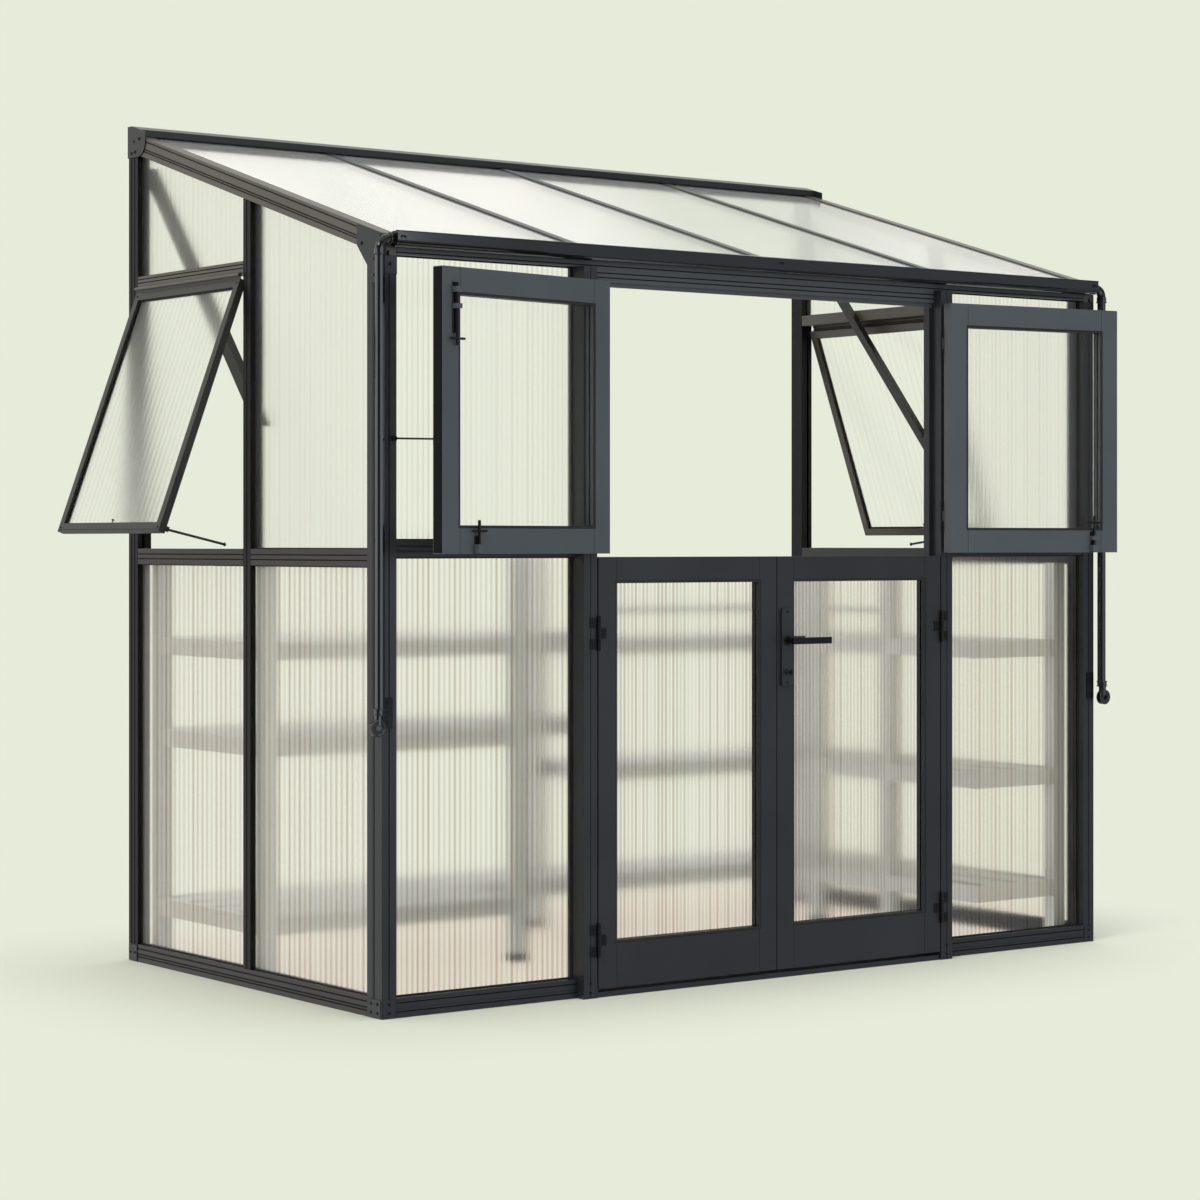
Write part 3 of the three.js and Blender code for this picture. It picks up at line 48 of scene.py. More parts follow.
# The studio: a pale room that the camera and the see-through sheets meet as one
# plain colour, brighter overhead than at the sides, so that top faces are lit.
scene.view_settings.view_transform = "Standard"
backdrop = (0.799, 0.831, 0.701, 1)
world = bpy.data.worlds.new("studio")
scene.world = world
world.use_nodes = True
tree = world.node_tree
tree.nodes.clear()
wire = tree.links.new
rays = tree.nodes.new("ShaderNodeLightPath")
seen = tree.nodes.new("ShaderNodeMath")
seen.operation = "MAXIMUM"
room = tree.nodes.new("ShaderNodeBackground")
room.inputs["Color"].default_value = backdrop
way = tree.nodes.new("ShaderNodeTexCoord")
split = tree.nodes.new("ShaderNodeSeparateXYZ")
height = tree.nodes.new("ShaderNodeMapRange")
height.interpolation_type = "SMOOTHSTEP"
height.inputs["From Min"].default_value = 0.0
height.inputs["From Max"].default_value = 0.42
height.inputs["To Min"].default_value = 0.42
height.inputs["To Max"].default_value = 0.93
light = tree.nodes.new("ShaderNodeBackground")
light.inputs["Color"].default_value = (0.97, 0.985, 1, 1)
mix = tree.nodes.new("ShaderNodeMixShader")
out = tree.nodes.new("ShaderNodeOutputWorld")

# What gloss reflects: tall pale boxes at the left, the front and the right, with
# dark felt between them, under a bright ceiling. Round pipes need this to look round.
# Each box has its place round the room as a share of a turn, its strength and tone.
behind = tree.nodes.new("ShaderNodeMath")
behind.operation = "MULTIPLY"
behind.inputs[1].default_value = -1
bearing = tree.nodes.new("ShaderNodeMath")
bearing.operation = "ARCTAN2"
share = tree.nodes.new("ShaderNodeMapRange")
share.inputs["From Min"].default_value = -math.pi
share.inputs["From Max"].default_value = math.pi
boxes = tree.nodes.new("ShaderNodeValToRGB")
boxes.color_ramp.interpolation = "EASE"
warm, cool, felt = (1, 0.95, 0.89), (0.86, 0.93, 1), (0.95, 0.97, 1)
brightest = 2.5
round_the_room = (
    (0.0, 0.6, warm), (0.11, 0.95, warm), (0.165, 2.3, cool), (0.25, 2.3, cool),
    (0.29, 0.16, felt), (0.45, 0.12, felt), (0.475, 2.2, cool), (0.525, 2.2, cool),
    (0.56, 0.55, cool), (0.63, 0.6, cool), (0.69, 0.2, felt), (0.77, 1.6, cool),
    (0.86, 1.6, cool), (0.93, 0.35, felt), (1.0, 0.6, warm),
)
ramp = boxes.color_ramp.elements
for number, (at, strength, tone) in enumerate(round_the_room):
    ends_the_ramp = number in (0, len(round_the_room) - 1)
    stop = ramp[-1 if number else 0] if ends_the_ramp else ramp.new(at)
    stop.position = at
    stop.color = (*(strength / brightest * part for part in tone), 1)
lean = tree.nodes.new("ShaderNodeMath")
lean.operation = "MULTIPLY_ADD"
lean.inputs[1].default_value = 0.35
overhead = tree.nodes.new("ShaderNodeMapRange")
overhead.interpolation_type = "SMOOTHSTEP"
overhead.inputs["From Min"].default_value = 0.34
overhead.inputs["From Max"].default_value = 0.52
curtain = tree.nodes.new("ShaderNodeMapRange")
curtain.inputs["From Min"].default_value = 0.15
curtain.inputs["From Max"].default_value = 0.22
curtain.inputs["To Min"].default_value = 1
curtain.inputs["To Max"].default_value = 0.2
drawn = tree.nodes.new("ShaderNodeVectorMath")
drawn.operation = "SCALE"
ceiling = tree.nodes.new("ShaderNodeMix")
ceiling.data_type = "RGBA"
drift = tree.nodes.new("ShaderNodeTexNoise")
drift.inputs["Scale"].default_value = 12
drift.inputs["Detail"].default_value = 3
patch = tree.nodes.new("ShaderNodeMapRange")
patch.interpolation_type = "SMOOTHSTEP"
patch.inputs["From Min"].default_value = 0.47
patch.inputs["From Max"].default_value = 0.6
pale = tree.nodes.new("ShaderNodeMix")
pale.data_type = "RGBA"
pale.inputs[6].default_value = (0.31, 0.325, 0.275, 1)
pale.inputs[7].default_value = (0.51, 0.50, 0.485, 1)
shown = tree.nodes.new("ShaderNodeBackground")
shown.inputs["Strength"].default_value = brightest
gloss_mix = tree.nodes.new("ShaderNodeMixShader")
wire(split.outputs["Y"], behind.inputs[0])
wire(split.outputs["X"], bearing.inputs[0])
wire(behind.outputs[0], bearing.inputs[1])
wire(bearing.outputs[0], share.inputs["Value"])
wire(share.outputs[0], boxes.inputs[0])
wire(split.outputs["Y"], lean.inputs[0])
wire(split.outputs["Z"], lean.inputs[2])
wire(lean.outputs[0], overhead.inputs["Value"])
wire(split.outputs["Z"], curtain.inputs["Value"])
wire(boxes.outputs[0], drawn.inputs[0])
wire(curtain.outputs[0], drawn.inputs["Scale"])
wire(overhead.outputs[0], ceiling.inputs[0])
wire(drawn.outputs[0], ceiling.inputs[6])
wire(way.outputs["Generated"], drift.inputs["Vector"])
wire(drift.outputs["Fac"], patch.inputs["Value"])
wire(patch.outputs[0], pale.inputs[0])
wire(pale.outputs[2], ceiling.inputs[7])
wire(ceiling.outputs[2], shown.inputs["Color"])
wire(rays.outputs["Is Glossy Ray"], gloss_mix.inputs[0])
wire(light.outputs[0], gloss_mix.inputs[1])
wire(shown.outputs[0], gloss_mix.inputs[2])
wire(way.outputs["Generated"], split.inputs[0])
wire(split.outputs["Z"], height.inputs["Value"])
wire(height.outputs[0], light.inputs["Strength"])
wire(rays.outputs["Is Camera Ray"], seen.inputs[0])
wire(rays.outputs["Is Transmission Ray"], seen.inputs[1])
wire(seen.outputs[0], mix.inputs[0])
wire(gloss_mix.outputs[0], mix.inputs[1])
wire(room.outputs[0], mix.inputs[2])
wire(mix.outputs[0], out.inputs["Surface"])

# The key light: a wide, slightly warm sun from the left, so that shadows stay soft
bpy.ops.object.light_add(type="SUN", location=(-4, -2, 3),
                         rotation=(math.radians(55), 0, math.radians(-68)))
key = bpy.context.object
key.name = "warm_key"
key.data.energy = 1.0
key.data.angle = math.radians(30)
key.data.color = (1, 0.92, 0.82)

# Two soft boxes, out of view: one over the gutter, one in front of the doors
for name, place, aim, size, power in (
    ("gutter_box", (2.9, 0.35, 5.4), (0.3, 0, 1.9), (5.2, 0.5), 46),
    ("front_box", (1.0, -4.4, 2.2), (-1.0, 0, 1.4), (1.0, 3.2), 26),
):
    turn = (Vector(aim) - Vector(place)).to_track_quat("-Z", "Y").to_euler()
    bpy.ops.object.light_add(type="AREA", location=place, rotation=turn)
    strip = bpy.context.object
    strip.name = name
    strip.data.shape = "RECTANGLE"
    strip.data.size, strip.data.size_y = size
    strip.data.energy = power
    strip.data.color = (0.9, 0.95, 1)
    strip.visible_camera = False
    strip.visible_transmission = False


# The floor keeps the soft shadow near the house and runs out into the backdrop. Seen through the
# sheets it glows a little warmer and paler: painted light, for the light that fills the house.
house_middle, house_half = (0, 0.65, 0), (1.25, 0.68, 0)
shadow_start, shadow_end = 0.05, 0.85
bpy.ops.mesh.primitive_plane_add(size=60, location=(0, 0, 0))
floor = bpy.context.object
floor.name = "floor"
floor.visible_glossy = False
ground = bpy.data.materials.new("pale_ground")
ground.use_nodes = True
ground_tree = ground.node_tree
wire = ground_tree.links.new
plain = ground_tree.nodes["Principled BSDF"]
plain.inputs["Base Color"].default_value = (0.745, 0.775, 0.655, 1)
plain.inputs["Roughness"].default_value = 1
plain.inputs["Specular IOR Level"].default_value = 0
ground_place = ground_tree.nodes.new("ShaderNodeTexCoord")
ground_turn = ground_tree.nodes.new("ShaderNodeVectorMath")
ground_turn.operation = "SUBTRACT"
ground_turn.inputs[1].default_value = house_middle
ground_side = ground_tree.nodes.new("ShaderNodeVectorMath")
ground_side.operation = "ABSOLUTE"
ground_past = ground_tree.nodes.new("ShaderNodeVectorMath")
ground_past.operation = "SUBTRACT"
ground_past.inputs[1].default_value = house_half
ground_only = ground_tree.nodes.new("ShaderNodeVectorMath")
ground_only.operation = "MAXIMUM"
ground_only.inputs[1].default_value = (0, 0, 0)
ground_far = ground_tree.nodes.new("ShaderNodeVectorMath")
ground_far.operation = "LENGTH"
ground_fade = ground_tree.nodes.new("ShaderNodeMapRange")
ground_fade.interpolation_type = "SMOOTHSTEP"
ground_fade.inputs["From Min"].default_value = shadow_start
ground_fade.inputs["From Max"].default_value = shadow_end
ground_glow = ground_tree.nodes.new("ShaderNodeEmission")
ground_glow.inputs["Color"].default_value = backdrop
ground_mix = ground_tree.nodes.new("ShaderNodeMixShader")
ground_rays = ground_tree.nodes.new("ShaderNodeLightPath")
ground_share = ground_tree.nodes.new("ShaderNodeMath")
ground_share.operation = "MULTIPLY"
ground_share.inputs[1].default_value = 0.85
# Painted light: seen through a sheet, the floor is mostly this warm glow rather than its lit
# colour.
ground_painted_glow = ground_tree.nodes.new("ShaderNodeEmission")
ground_painted_glow.inputs["Color"].default_value = (0.80, 0.74, 0.63, 1)
ground_through = ground_tree.nodes.new("ShaderNodeMixShader")
wire(ground_place.outputs["Object"], ground_turn.inputs[0])
wire(ground_turn.outputs[0], ground_side.inputs[0])
wire(ground_side.outputs[0], ground_past.inputs[0])
wire(ground_past.outputs[0], ground_only.inputs[0])
wire(ground_only.outputs[0], ground_far.inputs[0])
wire(ground_far.outputs["Value"], ground_fade.inputs["Value"])
wire(ground_rays.outputs["Is Transmission Ray"], ground_share.inputs[0])
wire(ground_share.outputs[0], ground_through.inputs[0])
wire(plain.outputs[0], ground_through.inputs[1])
wire(ground_painted_glow.outputs[0], ground_through.inputs[2])
wire(ground_fade.outputs[0], ground_mix.inputs[0])
wire(ground_through.outputs[0], ground_mix.inputs[1])
wire(ground_glow.outputs[0], ground_mix.inputs[2])
wire(ground_mix.outputs[0], ground_tree.nodes["Material Output"].inputs["Surface"])
floor.data.materials.append(ground)


# Effects shared by several finishes: the fine orange peel and faint dust of a
# powder coat, built once as a group of shader nodes.
coat_group = bpy.data.node_groups.new("powder_coat", "ShaderNodeTree")
plain_number = "NodeSocketFloat"
for name, value in (("Grain", 900), ("Dust", 0.1), ("Sheen", 0.3)):
    socket = coat_group.interface.new_socket(name=name, in_out="INPUT", socket_type=plain_number)
    socket.default_value = value
for name in ("Shade", "Height", "Rough"):
    coat_group.interface.new_socket(name=name, in_out="OUTPUT", socket_type=plain_number)
coat_in = coat_group.nodes.new("NodeGroupInput")
coat_out = coat_group.nodes.new("NodeGroupOutput")
place = coat_group.nodes.new("ShaderNodeTexCoord")
peel = coat_group.nodes.new("ShaderNodeTexNoise")
peel.inputs["Detail"].default_value = 2
cloud = coat_group.nodes.new("ShaderNodeTexNoise")
cloud.inputs["Scale"].default_value = 3.5
cloud.inputs["Detail"].default_value = 4
shade = coat_group.nodes.new("ShaderNodeMapRange")
shade.inputs["From Min"].default_value = 0.35
shade.inputs["From Max"].default_value = 0.7
shade.inputs["To Min"].default_value = 0
patchy = coat_group.nodes.new("ShaderNodeMath")
patchy.operation = "MULTIPLY_ADD"
patchy.inputs[1].default_value = 0.15
wire = coat_group.links.new
wire(place.outputs["Object"], peel.inputs["Vector"])
wire(place.outputs["Object"], cloud.inputs["Vector"])
wire(coat_in.outputs["Grain"], peel.inputs["Scale"])
wire(coat_in.outputs["Dust"], shade.inputs["To Max"])
wire(cloud.outputs["Fac"], shade.inputs["Value"])
wire(cloud.outputs["Fac"], patchy.inputs[0])
wire(coat_in.outputs["Sheen"], patchy.inputs[2])
wire(shade.outputs[0], coat_out.inputs["Shade"])
wire(peel.outputs["Fac"], coat_out.inputs["Height"])
wire(patchy.outputs[0], coat_out.inputs["Rough"])


def coated(name, colour, dusty, grain=900, dust=0.35, bump=0.06, rough=0.3, gloss=0.35,
           metallic=0.0):
    material = bpy.data.materials.new(name)
    material.use_nodes = True
    made = material.node_tree
    wire = made.links.new
    surface = made.nodes["Principled BSDF"]
    surface.inputs["Metallic"].default_value = metallic
    surface.inputs["Specular IOR Level"].default_value = gloss
    group = made.nodes.new("ShaderNodeGroup")
    group.node_tree = coat_group
    group.inputs["Grain"].default_value = grain
    group.inputs["Dust"].default_value = dust
    group.inputs["Sheen"].default_value = rough
    tint = made.nodes.new("ShaderNodeMix")
    tint.data_type = "RGBA"
    tint.inputs[6].default_value = (*colour, 1)
    tint.inputs[7].default_value = (*dusty, 1)
    relief = made.nodes.new("ShaderNodeBump")
    relief.inputs["Strength"].default_value = bump
    relief.inputs["Distance"].default_value = 0.0004
    wire(group.outputs["Shade"], tint.inputs[0])
    wire(tint.outputs[2], surface.inputs["Base Color"])
    wire(group.outputs["Rough"], surface.inputs["Roughness"])
    wire(group.outputs["Height"], relief.inputs["Height"])
    wire(relief.outputs[0], surface.inputs["Normal"])
    return material


def dressed(material, *names):
    for name in names:
        nodes[name].data.materials.clear()
        nodes[name].data.materials.append(material)


# The walls' bars: extruded aluminium with a charcoal powder coat, square cut and
# screwed. The long edges of each bar are slightly broken, and catch the light.
sides = ("left", "right")
both = (("left", -1), ("right", 1))


def on_both_sides(*bars):
    return [f"{side}_{bar}" for side in sides for bar in bars]


charcoal = coated("charcoal_coat", (0.013, 0.0145, 0.018), (0.028, 0.031, 0.036))
# Painted light: the gable bars, window frames and stays get a warmer, paler copy of the one
# charcoal coat, for the warm key light on the gables.
warm_lit_gable_coat = coated("warm_lit_gable_coat", (0.016, 0.0155, 0.015), (0.034, 0.032, 0.029))
# Painted shade: the back posts and mullions get a darker, duller copy of the one charcoal coat.
shaded_post_coat = coated("shaded_post_coat", (0.005, 0.005, 0.0054), (0.012, 0.012, 0.012), gloss=0.14)
# Painted light: the eave beam gets a paler, bluer copy of the one charcoal coat, as if lit from the
# front.
lit_eave_coat = coated("lit_eave_coat", (0.052, 0.058, 0.069), (0.070, 0.077, 0.089))
# Painted light: the rafters, window heads and the far window frame get a paler, warmer copy of the
# one charcoal coat, with more dust.
lit_slope_coat = coated("lit_slope_coat", (0.070, 0.064, 0.056), (0.105, 0.097, 0.086), dust=0.5)
dressed(lit_eave_coat, "eave_beam")
dressed(charcoal, "front_sill", "ridge_beam",
        *on_both_sides("front_post", "door_jamb", "front_rail"))
dressed(shaded_post_coat, *on_both_sides("back_post", "gable_mullion"))
dressed(warm_lit_gable_coat, *on_both_sides("gable_sill", "gable_mid_rail", "gable_brace"))
dressed(lit_slope_coat, *on_both_sides("window_head", "gable_rafter"))
for name in ("front_sill", "eave_beam", "ridge_beam", *on_both_sides(
        "front_post", "back_post", "gable_sill", "gable_mid_rail", "gable_mullion", "gable_rafter",
        "gable_brace", "door_jamb", "front_rail", "window_frame")):
    nodes[name].modifiers.new("one_skin", "WELD").merge_threshold = 0.00002
    broken = nodes[name].modifiers.new("broken_edges", "BEVEL")
    broken.width = 0.0013
    broken.segments = 1
    broken.limit_method = "ANGLE"
    broken.angle_limit = math.radians(50)


# Screws: black pan heads with a six-sided socket. One is modelled, and each set is
# made of copies of it, pressed on the plate or bar that it holds.
def alone():
    bpy.ops.object.select_all(action="DESELECT")


def facing(way):
    bpy.ops.mesh.select_all(action="DESELECT")
    bpy.ops.object.mode_set(mode="OBJECT")
    for face in bpy.context.object.data.polygons:
        face.select = face.normal.dot(Vector(way)) > 0.9
    bpy.ops.object.mode_set(mode="EDIT")


def eased(width, segments=2, angle=30):
    ease = bpy.context.object.modifiers.new("ease", "BEVEL")
    ease.width = width
    ease.segments = segments
    ease.limit_method = "ANGLE"
    ease.angle_limit = math.radians(angle)
    bpy.ops.object.modifier_apply(modifier="ease")
    bpy.ops.object.shade_smooth_by_angle(angle=math.radians(35))


def finished(name, material, body="house"):
    bpy.ops.object.transform_apply(location=True, rotation=True, scale=True)
    piece = bpy.context.object
    piece.name = name
    piece.data.materials.clear()
    piece.data.materials.append(material)
    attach(piece, body)


def joined(made):
    alone()
    for one in made:
        one.select_set(True)
    bpy.context.view_layer.objects.active = made[0]
    if len(made) > 1:
        bpy.ops.object.join()


def copies(name, pattern, spots, way, body="house", material=None, size=1.0):
    turn = Vector((0, 0, 1)).rotation_difference(Vector(way)).to_matrix().to_4x4()
    made = []
    for spot in spots:
        one = bpy.data.objects.new(name, pattern.copy())
        bpy.context.collection.objects.link(one)
        one.matrix_world = Matrix.Translation(Vector(spot)) @ turn @ Matrix.Scale(size, 4)
        made.append(one)
    joined(made)
    finished(name, material or black_coat, body)


black_coat = coated("black_coat", (0.003, 0.003, 0.0034), (0.010, 0.010, 0.011), grain=1400,
                    dust=0.2, rough=0.26, gloss=0.2)
head_high = 0.0022
alone()
bpy.ops.mesh.primitive_cylinder_add(vertices=12, radius=0.0048, depth=head_high,
                                    location=(0, 0, head_high / 2))
bpy.ops.object.mode_set(mode="EDIT")
facing((0, 0, 1))
bpy.ops.mesh.inset(thickness=0.0022)
bpy.ops.mesh.extrude_region_move(TRANSFORM_OT_translate={"value": (0, 0, -0.0013)})
bpy.ops.object.mode_set(mode="OBJECT")
bpy.ops.object.transform_apply(location=True, rotation=True, scale=True)
eased(0.0007, angle=70)
pan_head = bpy.context.object.data
bpy.data.objects.remove(bpy.context.object)

# Heights are from the floor, and depths are from the house's front face, at the
# world's y of `front`. The caps and brackets stand `plate_proud` of the gable's face.
front = -0.0215
gable_face = 1.25
plate_proud = 0.0033
for side, sign in both:
    out, ahead = (sign, 0, 0), (0, -1, 0)
    on_plate = sign * (gable_face + plate_proud)
    copies(f"{side}_bracket_screws", pan_head, [(on_plate, front + y, z) for y, z in (
        (0.028, 1.8535), (0.028, 1.8944), (0.0896, 1.9373))], out)
    copies(f"{side}_bracket_front_screw", pan_head,
           [(sign * (gable_face - 0.0215), front - 0.003, 1.880)], ahead)
    copies(f"{side}_cap_screws", pan_head, [(on_plate, front + y, z) for y, z in (
        (1.3221, 2.2906), (1.3013, 2.2924), (1.2764, 2.3275))], out)
    copies(f"{side}_cap_plug", pan_head,
           [(sign * (gable_face + 0.0013), front + 1.3076, 2.323)], out, size=1.15)
    copies(f"{side}_jamb_foot_screws", pan_head,
           [(sign * 0.6285, front - 0.030, z) for z in (0.016, 0.040)], ahead, size=0.8)
    copies(f"{side}_brace_screws", pan_head, [(sign * 1.2037, front + y, z) for y, z in (
        (0.6854, 1.5013), (0.7015, 1.5204), (1.2770, 2.2016), (1.2931, 2.2207))],
        (-sign, 0, 0), size=0.9)


# Foot plates: thin coated covers over the joint of sill and post, with a pressed
# rim and two screws each. Pipe clips: the same, on the front posts behind the rings.
def cover(corners, out, deep):
    alone()
    bpy.ops.mesh.primitive_plane_add(size=1)
    flat = bpy.context.object.data
    for at, corner in zip((0, 1, 3, 2), corners):
        flat.vertices[at].co = corner
    bpy.ops.object.mode_set(mode="EDIT")
    bpy.ops.mesh.select_all(action="SELECT")
    bpy.ops.mesh.extrude_region_move(TRANSFORM_OT_translate={"value": Vector(out) * deep})
    bpy.ops.mesh.select_all(action="SELECT")
    bpy.ops.mesh.normals_make_consistent(inside=False)
    bpy.ops.object.mode_set(mode="OBJECT")
    return bpy.context.object


rim_wide, rim_sunk = 0.0035, 0.0005


def rimmed(out):
    bpy.ops.object.mode_set(mode="EDIT")
    facing(out)
    bpy.ops.mesh.inset(thickness=rim_wide)
    bpy.ops.transform.translate(value=Vector(out) * -rim_sunk)
    bpy.ops.object.mode_set(mode="OBJECT")


def plate_x(sign, x, y0, y1, z0, z1, thick, name, material):
    corners = ((y0, z0), (y1, z0), (y1, z1), (y0, z1))
    cover([(sign * x, front + y, z) for y, z in corners], (sign, 0, 0), thick)
    rimmed((sign, 0, 0))
    eased(0.0005)
    finished(name, material)


def plate_y(y, x0, x1, z0, z1, thick, name, material):
    corners = ((x0, z0), (x1, z0), (x1, z1), (x0, z1))
    cover([(x, front + y, z) for x, z in corners], (0, -1, 0), thick)
    rimmed((0, -1, 0))
    eased(0.0005)
    finished(name, material)


skin_gap = 0.0001
foot_low, foot_high, foot_thick = 0.002, 0.048, 0.0018
for side, sign in both:
    on_gable = gable_face + skin_gap
    for name, y0, y1 in (
        ("front_foot_side_plate", 0.004, 0.065), ("back_foot_plate", 1.294, 1.341),
    ):
        plate_x(sign, on_gable, y0, y1, foot_low, foot_high, foot_thick, f"{side}_{name}", charcoal)
    plate_y(-skin_gap, *sorted((sign * 1.211, sign * 1.246)), foot_low, foot_high, foot_thick,
            f"{side}_front_foot_plate", charcoal)
    plate_y(-skin_gap, *sorted((sign * 1.220, sign * 1.2475)), 0.723, 0.801, 0.003,
            f"{side}_pipe_clip", black_coat)
    copies(f"{side}_foot_side_screws", pan_head,
           [(sign * (gable_face + 0.0014), front + y, z) for y, z in (
               (0.020, 0.014), (0.020, 0.036), (0.049, 0.014), (0.049, 0.036), (1.306, 0.025),
               (1.330, 0.025))],
           (sign, 0, 0), size=0.8)
    copies(f"{side}_foot_front_screws", pan_head,
           [(sign * 1.2285, front - 0.0014, z) for z in (0.014, 0.036)], (0, -1, 0), size=0.8)
    copies(f"{side}_clip_screws", pan_head,
           [(sign * 1.234, front - 0.0026, z) for z in (0.738, 0.787)], (0, -1, 0), size=0.8)


# Groove shadows: fine near-black strips lie in the long grooves on the outside of the bars, and
# show as dark lines along them: painted shadow, for the shade inside the grooves.
seam_shade = coated("seam_shade", (0.003, 0.003, 0.0035), (0.006, 0.006, 0.006), rough=0.6,
                    gloss=0.1)
roof_pitch = math.radians(16.5)
slope = math.tan(roof_pitch)
shadow_strip_wide, shadow_strip_thick = 0.003, 0.0006
rafter_start, rafter_end = -0.0210, 1.2675
for side, sign in both:
    grooves = {
        "gable_rafter": [((rafter_start, z), (rafter_end, z + slope * (rafter_end - rafter_start)))
                         for z in (1.9161, 1.9231, 1.9451)],
        "gable_mid_rail": [((y0, z), (y1, z)) for z in (1.1399, 1.1531)
                           for y0, y1 in ((0.0480, 0.6305), (0.6715, 1.2680))],
        "gable_sill": [((0.0480, z), (1.2680, z)) for z in (0.0135, 0.0210, 0.0360)],
        "window_head": [((0.6715, z), (1.2680, z)) for z in (1.9183, 1.9282)],
        "front_post": [((y, 0.0005), (y, 1.9100)) for y in (0.0115, 0.0175)],
        "back_post": [((y, 0.0005), (y, 2.2990)) for y in (1.2853, 1.3037)],
        "gable_mullion": [((0.6495, 0.0510), (0.6495, 2.0990))],
    }
    shadow_strips = []
    for (y0, z0), (y1, z1) in (run for runs in grooves.values() for run in runs):
        dy, dz = (shadow_strip_wide, 0) if y0 == y1 else (0, shadow_strip_wide)
        corners = ((y0, z0), (y1, z1), (y1 + dy, z1 + dz), (y0 + dy, z0 + dz))
        shadow_strips.append(cover([(sign * 1.2486, y, z) for y, z in corners], (sign, 0, 0), shadow_strip_thick))
    joined(shadow_strips)
    finished(f"{side}_gable_groove_shadow_strips", seam_shade)
shadow_strips = []
front_groove = -0.0199
for x0, x1, z in (
    (-1.2060, -0.6520, 0.0135), (0.6520, 1.2060, 0.0135), (-0.6060, 0.6060, 0.0360),
    (-1.2060, -0.6520, 0.0360), (0.6520, 1.2060, 0.0360), (-1.2060, 1.2060, 1.9095),
    (-0.6060, 0.6060, 1.8795), (-0.6060, 0.6060, 1.8915),
):
    corners = ((x0, z), (x1, z), (x1, z + shadow_strip_wide), (x0, z + shadow_strip_wide))
    shadow_strips.append(cover([(x, front_groove, h) for x, h in corners], (0, -1, 0), shadow_strip_thick))
for x in (-1.2300, 1.2270):
    corners = ((x, 0.0005), (x + shadow_strip_wide, 0.0005), (x + shadow_strip_wide, 1.9005), (x, 1.9005))
    shadow_strips.append(cover([(wide, front_groove, z) for wide, z in corners], (0, -1, 0), shadow_strip_thick))
joined(shadow_strips)
finished("front_groove_shadow_strips", seam_shade)


# Glazing beads: rings of black rubber pressed into the corner between each sheet
# and its bars, on both faces, mitred by the knife and slightly rounded.
rubber = coated("rubber_bead", (0.012, 0.012, 0.013), (0.035, 0.034, 0.033), grain=500, dust=0.3,
                rough=0.5, gloss=0.25)


def bead_ring(corners, out, deep=0.003, width=0.003):
    alone()
    bpy.ops.mesh.primitive_plane_add(size=1)
    flat = bpy.context.object.data
    for at, corner in zip((0, 1, 3, 2), corners):
        flat.vertices[at].co = corner
    bpy.ops.object.mode_set(mode="EDIT")
    bpy.ops.mesh.select_all(action="SELECT")
    bpy.ops.mesh.inset(thickness=width)
    bpy.ops.mesh.delete(type="FACE")
    bpy.ops.mesh.select_all(action="SELECT")
    bpy.ops.mesh.extrude_region_move(TRANSFORM_OT_translate={"value": Vector(out) * deep})
    bpy.ops.mesh.select_all(action="SELECT")
    bpy.ops.mesh.normals_make_consistent(inside=False)
    bpy.ops.object.mode_set(mode="OBJECT")
    eased(0.0009)
    return bpy.context.object


# Each field between the gable's bars is given by its ends' depths, its low edge at
# both ends, and its high edge at the back and at the front end, under the rafter.
low_front_field = (0.0690, 0.6525, 0.050, 0.050, 1.126, 1.126)
low_back_field = (0.6925, 1.2900, 0.050, 0.050, 1.126, 1.126)
low_whole_field = (0.0690, 1.2900, 0.050, 0.050, 1.126, 1.126)
high_front_field = (0.0690, 0.6525, 1.170, 1.170, 2.0943, 1.9214)
high_back_field = (0.6925, 1.2900, 1.938, 1.938, 2.2831, 2.1061)
for side, sign in both:
    rings = []
    for fields, across, way in (
        ((low_front_field, low_back_field, high_front_field, high_back_field), 0.0149, sign),
        ((low_whole_field, high_front_field, high_back_field), 0.0211, -sign),
    ):
        x = sign * (gable_face - across)
        for y0, y1, low0, low1, high1, high0 in fields:
            corners = ((y0, low0), (y1, low1), (y1, high1), (y0, high0))
            rings.append(bead_ring([(x, front + y, z) for y, z in corners], (way, 0, 0)))
    joined(rings)
    finished(f"{side}_gable_beads", rubber)
    rings = []
    for y, way, fields in (
        (0.0219, -1, ((0.050, 1.149), (1.193, 1.905))),
        (0.0281, 1, ((0.050, 1.905),)),
    ):
        for low, high in fields:
            corners = ((0.650, low), (1.207, low), (1.207, high), (0.650, high))
            rings.append(bead_ring([(sign * x, front + y, z) for x, z in corners], (0, way, 0)))
    joined(rings)
    finished(f"{side}_front_beads", rubber)


# Door leaves: wide coated stiles and rails, tongued together, so a hairline shows
# where each rail meets a stile. The upper leaves stand open, the lower are shut.
# Painted light: the upper leaves get a paler, bluer copy of the charcoal coat, as if lit from the
# sky, while the lower leaves keep the plain charcoal.
lit_leaf_coat = coated("lit_leaf_coat", (0.057, 0.065, 0.077), (0.079, 0.090, 0.104))
dressed(charcoal, "lower_left_leaf_frame", "lower_right_leaf_frame")
dressed(lit_leaf_coat, "upper_left_leaf_frame", "upper_right_leaf_frame")
leaf_open = {"left": math.radians(-169.5), "right": math.radians(173.5)}
pin_x, pin_ahead = 0.605, 0.036


def on_leaf(side, level, *spots):
    sign = -1 if side == "left" else 1
    turn = Matrix.Rotation(leaf_open[side] if level == "upper" else 0, 3, "Z")
    pin = Vector((sign * pin_x, front - pin_ahead, 0))
    return [pin + turn @ Vector((-sign * x, y, z)) for x, y, z in spots]


def leaf_way(side, level, way):
    base, tip = on_leaf(side, level, (0, 0, 0), way)
    return tip - base


